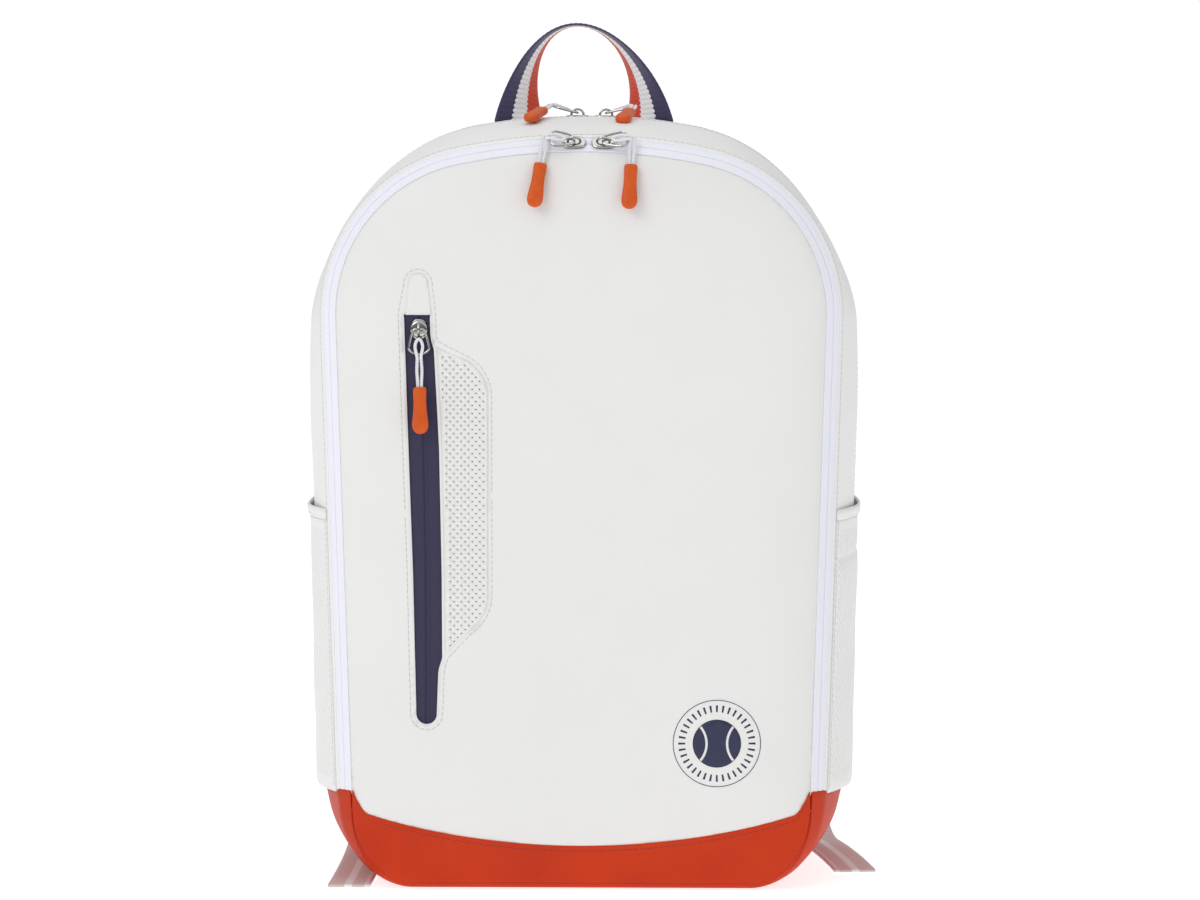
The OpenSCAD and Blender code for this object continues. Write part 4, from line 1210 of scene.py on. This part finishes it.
def placer(origin, x_axis, y_axis, z_axis):
    """A function that takes a point from these axes to the bag's."""
    return lambda x, y=0.0, z=0.0: origin + x_axis * x + y_axis * y + z_axis * z


def squarer(v, power):
    """A sine or cosine, bent so that a circle becomes a rounded square."""
    return math.copysign(abs(v) ** power, v)


def rounded_loop(w, h, r):
    pts = []
    for cx, cz, start in ((1, 1, 0), (-1, 1, 90), (-1, -1, 180), (1, -1, 270)):
        pts += polar(cx * (w / 2 - r), cz * (h / 2 - r), r, range(start, start + 91, 9))
    return pts


def smooth(pts, times=2, closed=False):
    """Cuts a line's corners, times over."""
    for _ in range(times):
        out = [] if closed else [pts[0]]
        for a, b in zip(pts, pts[1:] + pts[:1] if closed else pts[1:]):
            out += [a * 0.75 + b * 0.25, a * 0.25 + b * 0.75]
        pts = out if closed else out + [pts[-1]]
    return pts


def grip(name, at):
    """The moulded grip: waisted, with a square shoulder and a round end."""
    rows = []
    for d, w, h in GRIP_SHAPE:
        ring = polar(0, 0, 1, around_circle(28))
        rows.append([at(d, squarer(c, 0.72) * w, squarer(s, 0.72) * h) for c, s in ring])
    o = shell(name, rows, GRIP)
    m = o.modifiers.new("smooth", "SUBSURF")
    m.levels = m.render_levels = 1
    return apply_modifiers(o)


def pull_ring(tag, at):
    """Narrow at the slider, wide and round at its far end."""
    r = 4.1
    pts = polar(PULL_LEN - r, 0, (r, 1.45 * r), np.linspace(-90, 90, 19))
    near = [(4.5, 4.7), (2.0, 3.7), (0.3, 3.0), (-0.1, 2.2)]
    pts += near + [(-0.1, 0)] + [(x, -y) for x, y in reversed(near)]
    path = smooth([at(x, y) for x, y in pts], closed=True)
    return tube("pull_ring_" + tag, path, 0.72, NICKEL, closed=True)


def cord_loop(tag, at):
    """The cord's loop inside the ring, tied round its far bar."""
    half = [(2.2, 1.1, 0.2), (0, 1.3, 1.5), (-4.0, 2.4, 0.9), (-7.5, 1.7, 0.5)]
    pts = half + [(-9.4, 0, 0.4)] + [(x, -y, z) for x, y, z in reversed(half)]
    return tube("cord_loop_" + tag, smooth([at(PULL_LEN + x, y, z) for x, y, z in pts], 3), 0.95, CORD, 10)


def slider_head(tag, pivot, along, across, out):
    """The slider: a crowned plate above the tape, one below it, a post between them and the bail."""
    rise = math.radians(PULL_RISE[tag.split("_")[0]])
    run = along * math.cos(rise) - out * math.sin(rise)
    up = out * math.cos(rise) + along * math.sin(rise)
    at = placer(pivot - up * PIVOT_H, run, across, up)

    def lofted(loop, *levels):
        return shell("part", [[at(x * k, y * k, h) for x, y in loop] for k, h in levels], NICKEL)

    plate = polar(0, 0, 5.0, around_circle(48)) if tag == "pocket" else rounded_loop(14, 9, 4.2)
    parts = [lofted(plate, (0.94, 0.6), (1, 0.8), (1, 1.25), (0.97, 1.55), (0.9, 1.75), (0.7, 1.9),
                    (0.05, 2.0))]
    if tag == "pocket":
        nose = rounded_loop(12, 8, 3.4)
        parts.append(lofted(nose, (0.95, 0.35), (1, 0.5), (1, 0.75), (0.94, 0.9), (0.05, 0.95)))
    bail = [at(3.7 * math.cos(a), 0, 1.4 + 4.1 * math.sin(a) ** 0.8) for a in np.linspace(0, math.pi, 25)]
    parts.append(tube("part", bail, 0.72, NICKEL))
    # A front slider's lower plate is narrow, and lies on the panel's half of the tape
    width = 4.6 if tag.startswith("front") else 8
    shift = math.copysign(width / 2 - 4, -across[1])
    parts.append(lofted([(x, y + shift) for x, y in rounded_loop(13, width, 1.8)],
                        (1, -4), (1, -3.8), (1, -3.2), (1, -3)))
    parts.append(lofted([(x - 3, y) for x, y in rounded_loop(4, 1.2, 0.5)], (1, -4), (1, 0.9)))
    return remesh(join("slider_head_" + tag, parts), face_outwards)


def slider_set(tag):
    """A slider with its pull, cord and grip, along the joints' own points and axes."""
    pull, cord = joint(f"pull_{tag}_lift"), joint(f"cord_{tag}_lift")
    pivot, knot = Vector(pull["pos_m"]) / MM, Vector(cord["pos_m"]) / MM
    along, across = unit(knot - pivot), unit(pull["axis"])
    out = unit(across.cross(along))
    settle(slider_head(tag, pivot, along, across, out), f"slider_{tag}_body", "slider_" + tag)
    at = placer(pivot, along, across, out)
    settle(pull_ring(tag, at), f"pull_{tag}_body", "pull_" + tag)
    settle(cord_loop(tag, at), f"pull_{tag}_body")
    # The cord's two strands run from the knot to the grip, whose flat side looks up or forward
    low, high = box("grip_" + tag)
    x = unit((Vector(low) + Vector(high)) / 2 - knot)
    face = Vector((0, 0, 1) if tag.startswith("main") else (0, -1, 0))
    z = unit(face - x * face.dot(x))
    at = placer(knot, x, z.cross(x), z)
    line = ((-1.2, 1.0), (3, 1.3), (8, 1.5), (13, 1.1), (CORD_LEN + 2.5, 1.0))
    strands = [tube("strand", smooth([at(d, side * w) for d, w in line]), 0.95, CORD, 10) for side in (-1, 1)]
    settle(join("cord_strands_" + tag, strands), f"cord_{tag}_body", "cord_" + tag)
    o = grip("grip_cover_" + tag, placer(at(CORD_LEN + 0.6), x, z.cross(x), z))
    settle(o, f"cord_{tag}_body", "grip_" + tag)


# ---------- back, straps and inside ----------

def pillow(name, node, r, rise, mat, channels=()):
    """A padded patch on the back: a rounded outline that swells to rise, pressed in along its channels."""
    low, high = box(node)
    w, h = high[0] - low[0], high[2] - low[2]
    cx, y0, cz = (low[0] + high[0]) / 2, low[1] - 0.3, (low[2] + high[2]) / 2
    loop = rounded_loop(w, h, r)
    rows = [[(cx + x, y0, cz + z) for x, z in loop]]
    for k in (1.0, 0.997, 0.985, 0.965, 0.935, 0.9, 0.86, 0.8, 0.72, 0.62, 0.5, 0.38, 0.26, 0.14, 0.03):
        row = []
        for x, z in ((x * k, z * k) for x, z in loop):
            d = max(0, min(w / 2 - abs(x), h / 2 - abs(z)))
            edge = min(1, d / 16)
            body = (1 - (1 - edge) ** 2.6) ** 0.55
            groove = sum(2.6 * bell(z - c, 3.2) for c in channels) * min(1, d / 12)
            soft = 0.5 * ripple(cx + x, 0, cz + z, 26, 3.0) * edge
            row.append((cx + x, y0 + max(0.4, rise * body - groove + soft), cz + z))
        rows.append(row)
    return settle(remesh(shell(name, rows, mat), face_outwards), "root", node)


def back():
    rim = [skin(s, side, DEPTH, -0.4) for s, side in arch(-0.99, 6)]

    def ring(k, lift):
        return [(x * k, BACK_Y + lift, FACE_MID + (z - FACE_MID) * k) for x, y, z in rim]

    levels = ((1.0, 0.2), (1.0, 2.2), (0.995, 3.4), (0.985, 3.9), (0.96, 4.0), (0.9, 3.9), (0.8, 3.8),
              (0.6, 3.8), (0.4, 3.8), (0.2, 3.8), (0.02, 3.8))
    o = shell("back_panel_cover", [ring(k, lift) for k, lift in levels], WHITE_SIDE)
    settle(remesh(o, face_outwards), "root", "back_panel")
    path = ring(0.975, 4.1)
    settle(stitches("stitches_back", path + path[:1], back_normal, THREAD_WHITE), "root")
    for tag in ("left", "right"):
        pillow("back_pad_cover_" + tag, "back_pad_" + tag, 26, 9.0, MESH, (-60, 0, 60))
    pillow("lumbar_pad_cover", "lumbar_pad", 24, 9.0, MESH)
    pillow("strap_yoke_cover", "strap_yoke", 16, 2.6, WHITE_SIDE)
    low, high = box("strap_yoke")
    loop = rounded_loop(high[0] - low[0] - 8, high[2] - low[2] - 8, 13)
    path = [(x, high[1] - 0.1, z + (low[2] + high[2]) / 2) for x, z in loop + loop[:1]]
    settle(stitches("stitches_yoke", path, back_normal, THREAD_WHITE), "root")


STRAP_TOP = Vector((50, BACK_Y + 9.4, 415))
STRAP_FOOT = Vector((133, BACK_Y + 8.4, 66))
STRAP_W, STRAP_NARROWS, STRAP_BOW = 62, 22, 38
PAD_END, LOCK_AT, WEB_W, WEB_T = 0.72, 0.785, 25, 1.4
# Where each free tail turns forward on the ground, passes beside the boot and ends, from the back rim
TAIL = {"left": ((135, 14, 2), (134, -60, 1.2), (137, -168, 1.5)),
        "right": ((139, 14, 2), (153, -22, 1.2), (163, -105, 1.5))}
WEB_FREE, WEB_HELD = 66, 128                 # two heights on the webbing's line, in millimetres


def strap_mid(t):
    """The right strap's middle line, t from 0 at the yoke to 1 at the lower tab."""
    x, y, z = STRAP_FOOT - STRAP_TOP
    bow = STRAP_BOW * max(0, math.sin(math.pi * t)) ** 0.85
    return STRAP_TOP + Vector((x * max(0, t) ** 1.15, y * t + bow, z * t))


def strap_frame(t):
    run = unit(strap_mid(min(1, t + 0.01)) - strap_mid(max(0, t - 0.01)))
    across = unit(run.cross(Vector((0, 1, 0))))
    return run, across, unit(across.cross(run))


def strap_half(t):
    return (STRAP_W - STRAP_NARROWS * (max(0, t) / PAD_END) ** 3) / 2


def strap_pad(name):
    """The padded part: flat on top, with rolled edges and rounded ends."""
    rows = []
    n, early = 110, 0.008
    for i in range(n + 1):
        t = -early + (PAD_END + early) * i / n
        end = math.sqrt(min(1, i / n / 0.03, (1 - i / n) / 0.03))
        at = placer(strap_mid(max(0.0, t)), *strap_frame(max(0.001, t)))
        row = []
        for c, s in polar(0, 0, 1, around_circle(36)):
            px = squarer(c, 0.5)
            h = squarer(s, 0.45) * (0.45 + 0.55 * min(1, max(0, 1 - abs(px)) / 0.22) ** 0.5)
            soft = 0.35 * ripple(px * 25, 0, t * 300, 22, 2.2) * (1 - abs(px) ** 4)
            thick = 1.0 + h * (4.6 if s > 0 else 3.2) * (0.55 + 0.45 * end) + soft * s
            row.append(at(min(0, t) * 350, px * strap_half(t) * (0.72 + 0.28 * end), thick))
        rows.append(row)
    return shell(name, rows, WHITE_SIDE)


def strap_rows(tag):
    """A row of stitches along both edges of the pad."""
    rows = []
    for side in (-1, 1):
        path = [placer(strap_mid(t), *strap_frame(t))(0, side * (strap_half(t) - 4.2), 5.0)
                for t in np.linspace(0.015, PAD_END - 0.02, 80)]
        rows.append(stitches("row", path, lambda p: Vector((0, 1, 0.2)), THREAD_WHITE))
    return join("shoulder_strap_stitches_" + tag, rows)


def web_strip(mids, frames):
    """Ribbed webbing along mids; frames gives its directions along, across and out."""
    rows, uvs = [], []
    for p, (_, across, out), run in zip(mids, frames, lengths(mids)):
        thick = WEB_T / 2 + 0.12 * (abs(math.sin(math.pi * run / RIB)) - 0.5)
        row = []
        for side in (1, -1):
            for k in np.linspace(-0.5, 0.5, 11)[::side]:
                row.append(p + across * (k * WEB_W) + out * (side * thick))
                uvs.append((k + 0.5, run * MM))
        rows.append(row)
    return grid("strip", rows, STRAP_WEB, around=True, uvs=uvs, caps=True)


def strip_on_strap(ts, lift):
    frames = [strap_frame(t) for t in ts]
    return web_strip([strap_mid(t) + f[2] * lift for t, f in zip(ts, frames)], frames)


def bezier(a, b, c, k):
    return a * (1 - k) ** 2 + b * (2 * k * (1 - k)) + c * k ** 2


def even_line(pts, step):
    """The same line with points step apart."""
    cum = lengths(pts)
    n = max(2, int(cum[-1] / step))
    ds = [cum[-1] * i / n for i in range(n + 1)]
    return [Vector(v) for v in zip(*(np.interp(ds, cum, [p[i] for p in pts]) for i in range(3)))]


def free_tail(tag):
    """The webbing's free end hangs from the lock, turns forward on the ground and lies beside the boot."""
    turn, beside, end = (Vector((x, BACK_Y + y, z)) for x, y, z in TAIL[tag])
    first = strap_mid(LOCK_AT + 0.05) + Vector((0, 3.5, 0))
    line = [bezier(first, Vector((126, BACK_Y + 36, 38)), turn + Vector((1, 14, 1)), k)
            for k in np.linspace(0, 0.92, 7)]
    line += [bezier(turn + Vector((2, 3, 0)), beside, end, k) for k in np.linspace(0, 1, 7)]
    line = even_line(smooth(line), 1.0)
    frames = []
    for i in range(len(line)):
        r = unit(line[min(len(line) - 1, i + 2)] - line[max(0, i - 2)])
        a = unit(Vector((1, 0, 0)) - r * r[0])
        frames.append((r, a, unit(r.cross(a))))
    return web_strip(line, frames)


def mirror_x(o):
    o.data.transform(Matrix.Scale(-1, 4, (1, 0, 0)))
    o.data.flip_normals()


def dress(node, mat, bevel, segments=2, degrees=30):
    """Gives a node of the CAD a material and rounded edges."""
    o = frame["nodes"][node]
    o.data.materials.clear()
    o.data.materials.append(mat)
    round_edges(o, bevel, segments, degrees)


def lower_tab(side, tag):
    """A folded leather patch."""
    y = box("strap_tab_" + tag)[0][1]
    corners = [Vector(p) for p in ((118, 34), (136, 34), (144, 62), (122, 66))]
    dense = []
    for a, b in zip(corners, corners[1:] + corners[:1]):
        dense += [a + (b - a) * i / 12 for i in range(12)]
    dense = smooth(dense, closed=True)
    mid = sum(dense, Vector((0, 0))) / len(dense)
    rows = []
    for k, h in ((1, 0), (1, 1.6), (0.985, 2.2), (0.95, 2.5), (0.8, 2.4), (0.5, 2.4), (0.1, 2.4)):
        rows.append([(side * x, y + h, z) for x, z in (mid + (p - mid) * k for p in dense)])
    o = remesh(shell("strap_tab_cover_" + tag, rows, ORANGE), face_outwards)
    settle(o, "root", "strap_tab_" + tag)


def strap(side, tag):
    """Built as the right strap; the left one is its mirror image."""
    body = f"strap_{tag}_body"
    pad, rows = strap_pad("shoulder_strap_cover_" + tag), strap_rows(tag)
    # The loop that holds the lock, the run to the tab, and the free tail
    web = join("strap_webbing_cloth_" + tag,
               [strip_on_strap(np.linspace(PAD_END - 0.03, LOCK_AT - 0.02, 24), 1.3),
                strip_on_strap(np.linspace(LOCK_AT - 0.01, 1.0, 90), -0.75), free_tail(tag)])
    if side < 0:
        for o in (pad, rows, web):
            mirror_x(o)
    settle(pad, body, "shoulder_strap_" + tag)
    settle(rows, body)
    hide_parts("strap_webbing_" + tag)
    held, swings = ((side * STRAP_FOOT[0] * MM, STRAP_FOOT[1] * MM, z * MM) for z in (WEB_FREE, WEB_HELD))
    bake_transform(web)
    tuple(held)
    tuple(swings)
    dress("ladder_lock_" + tag, GREY_PLASTIC, 0.8, 3)
    lower_tab(side, tag)


def divider():
    """A soft wall across the inside of the bag, a little puffed."""
    y0, mid = box("divider")[0][1] + 0.2, FACE_MID - 20
    loop = [skin(s, side, MAIN_U - 8, -5.4) for s, side in arch(side_s(8), 8)]
    rows = []
    for k in (1, 0.985, 0.95, 0.85, 0.7, 0.5, 0.3, 0.1):
        row = []
        for x, y, z in loop:
            puff = (1.5 - 0.8 * ripple(x * k, 0, z * k, 50, 7.0)) * (1 - k ** 4)
            row.append((x * k, y0 - puff, mid + (z - mid) * k))
        rows.append(row)
    o = grid("divider_cloth", rows, LINING, around=True)

    def close(bm):
        bm.verts.ensure_lookup_table()
        bm.faces.new(bm.verts[-len(loop):])
        face_outwards(bm)

    remesh(o, close)
    m = o.modifiers.new("thickness", "SOLIDIFY")
    m.thickness, m.offset = 1.2 * MM, 0
    settle(apply_modifiers(o), "root", "divider")


# ---------- build ----------

front_panel()
front_inlay()
front_garage()
pocket_zip()
pocket_stitches()
badge()
gussets()
zip_bands()
boot_front()
boot_base()
side_pocket(-1, "left")
side_pocket(1, "right")
handle()
for tag in ("front_left", "front_right", "main_left", "main_right", "pocket"):
    slider_set(tag)
back()
strap(1, "right")
strap(-1, "left")
divider()
for mat, nodes in ((LINING, ("laptop_sleeve", "pocket_bag")), (BOARD, ("frame_sheet", "base_board")),
                   (COIL_WHITE, ("main_zip_coil", "front_zip_coil_rear", "front_zip_coil_front")),
                   (COIL_NAVY, ("pocket_zip_coil",))):
    for node in nodes:
        dress(node, mat, 0.5, degrees=60)


# ---------- floor, light and camera ----------

def floor():
    e = 6.0
    mesh = bpy.data.meshes.new("floor")
    mesh.from_pydata([(-e, -e, 0), (e, -e, 0), (e, e, 0), (-e, e, 0)], [], [(0, 1, 2, 3)])
    mat = Nodes("floor").finish((0.5, 0.5, 0.5), 0.9, Emission_Color=(1, 1, 1, 1), Emission_Strength=0.76,
                                Specular_IOR_Level=0.1)
    o = link("floor", mesh, mat)
    o.location.z = -0.0004


def sky():
    """White, and brighter to the camera than to the bag."""
    world = bpy.data.worlds.new("studio")
    bpy.context.scene.world = world
    world.use_nodes = True
    tree = world.node_tree
    bg = tree.nodes["Background"]
    bg.inputs["Color"].default_value = (1, 1, 1, 1)
    path = tree.nodes.new("ShaderNodeLightPath")
    strength = tree.nodes.new("ShaderNodeMath")
    strength.operation = "MULTIPLY_ADD"
    strength.inputs[1].default_value = 0.5
    strength.inputs[2].default_value = 0.54
    tree.links.new(path.outputs["Is Camera Ray"], strength.inputs[0])
    tree.links.new(strength.outputs[0], bg.inputs["Strength"])


def aim(o, at, target):
    o.location = at
    o.rotation_euler = (Vector(target) - Vector(at)).to_track_quat("-Z", "Y").to_euler()
    bpy.context.scene.collection.objects.link(o)


def area(name, at, height, size, power):
    """A square light that looks at the bag's middle line."""
    data = bpy.data.lights.new(name, "AREA")
    data.shape = "RECTANGLE"
    data.size = data.size_y = size
    data.energy = power
    aim(bpy.data.objects.new(name, data), at, (0, 0, height))


def camera():
    """Seen from slightly above and slightly to the right, from about three metres."""
    data = bpy.data.cameras.new("camera")
    o = bpy.data.objects.new("camera", data)
    target = Vector((0.0112, FRONT_Y * MM, 0.2596))
    far, view_w, az, el = 3.05, 0.7035, math.radians(1.3), math.radians(4.5)
    away = Vector((math.sin(az) * math.cos(el), -math.cos(az) * math.cos(el), math.sin(el)))
    aim(o, target + far * away, target)
    data.sensor_width = 36
    data.lens = data.sensor_width * far / view_w
    bpy.context.scene.camera = o


floor()
sky()
area("key", (-1.6, -2.0, 2.1), 0.25, 1.8, 23)
area("fill", (1.9, -1.8, 1.2), 0.25, 1.5, 4)
area("top", (0, 0.2, 2.4), 0.2, 2.0, 12)
camera()
bpy.context.scene.view_settings.view_transform = "Standard"
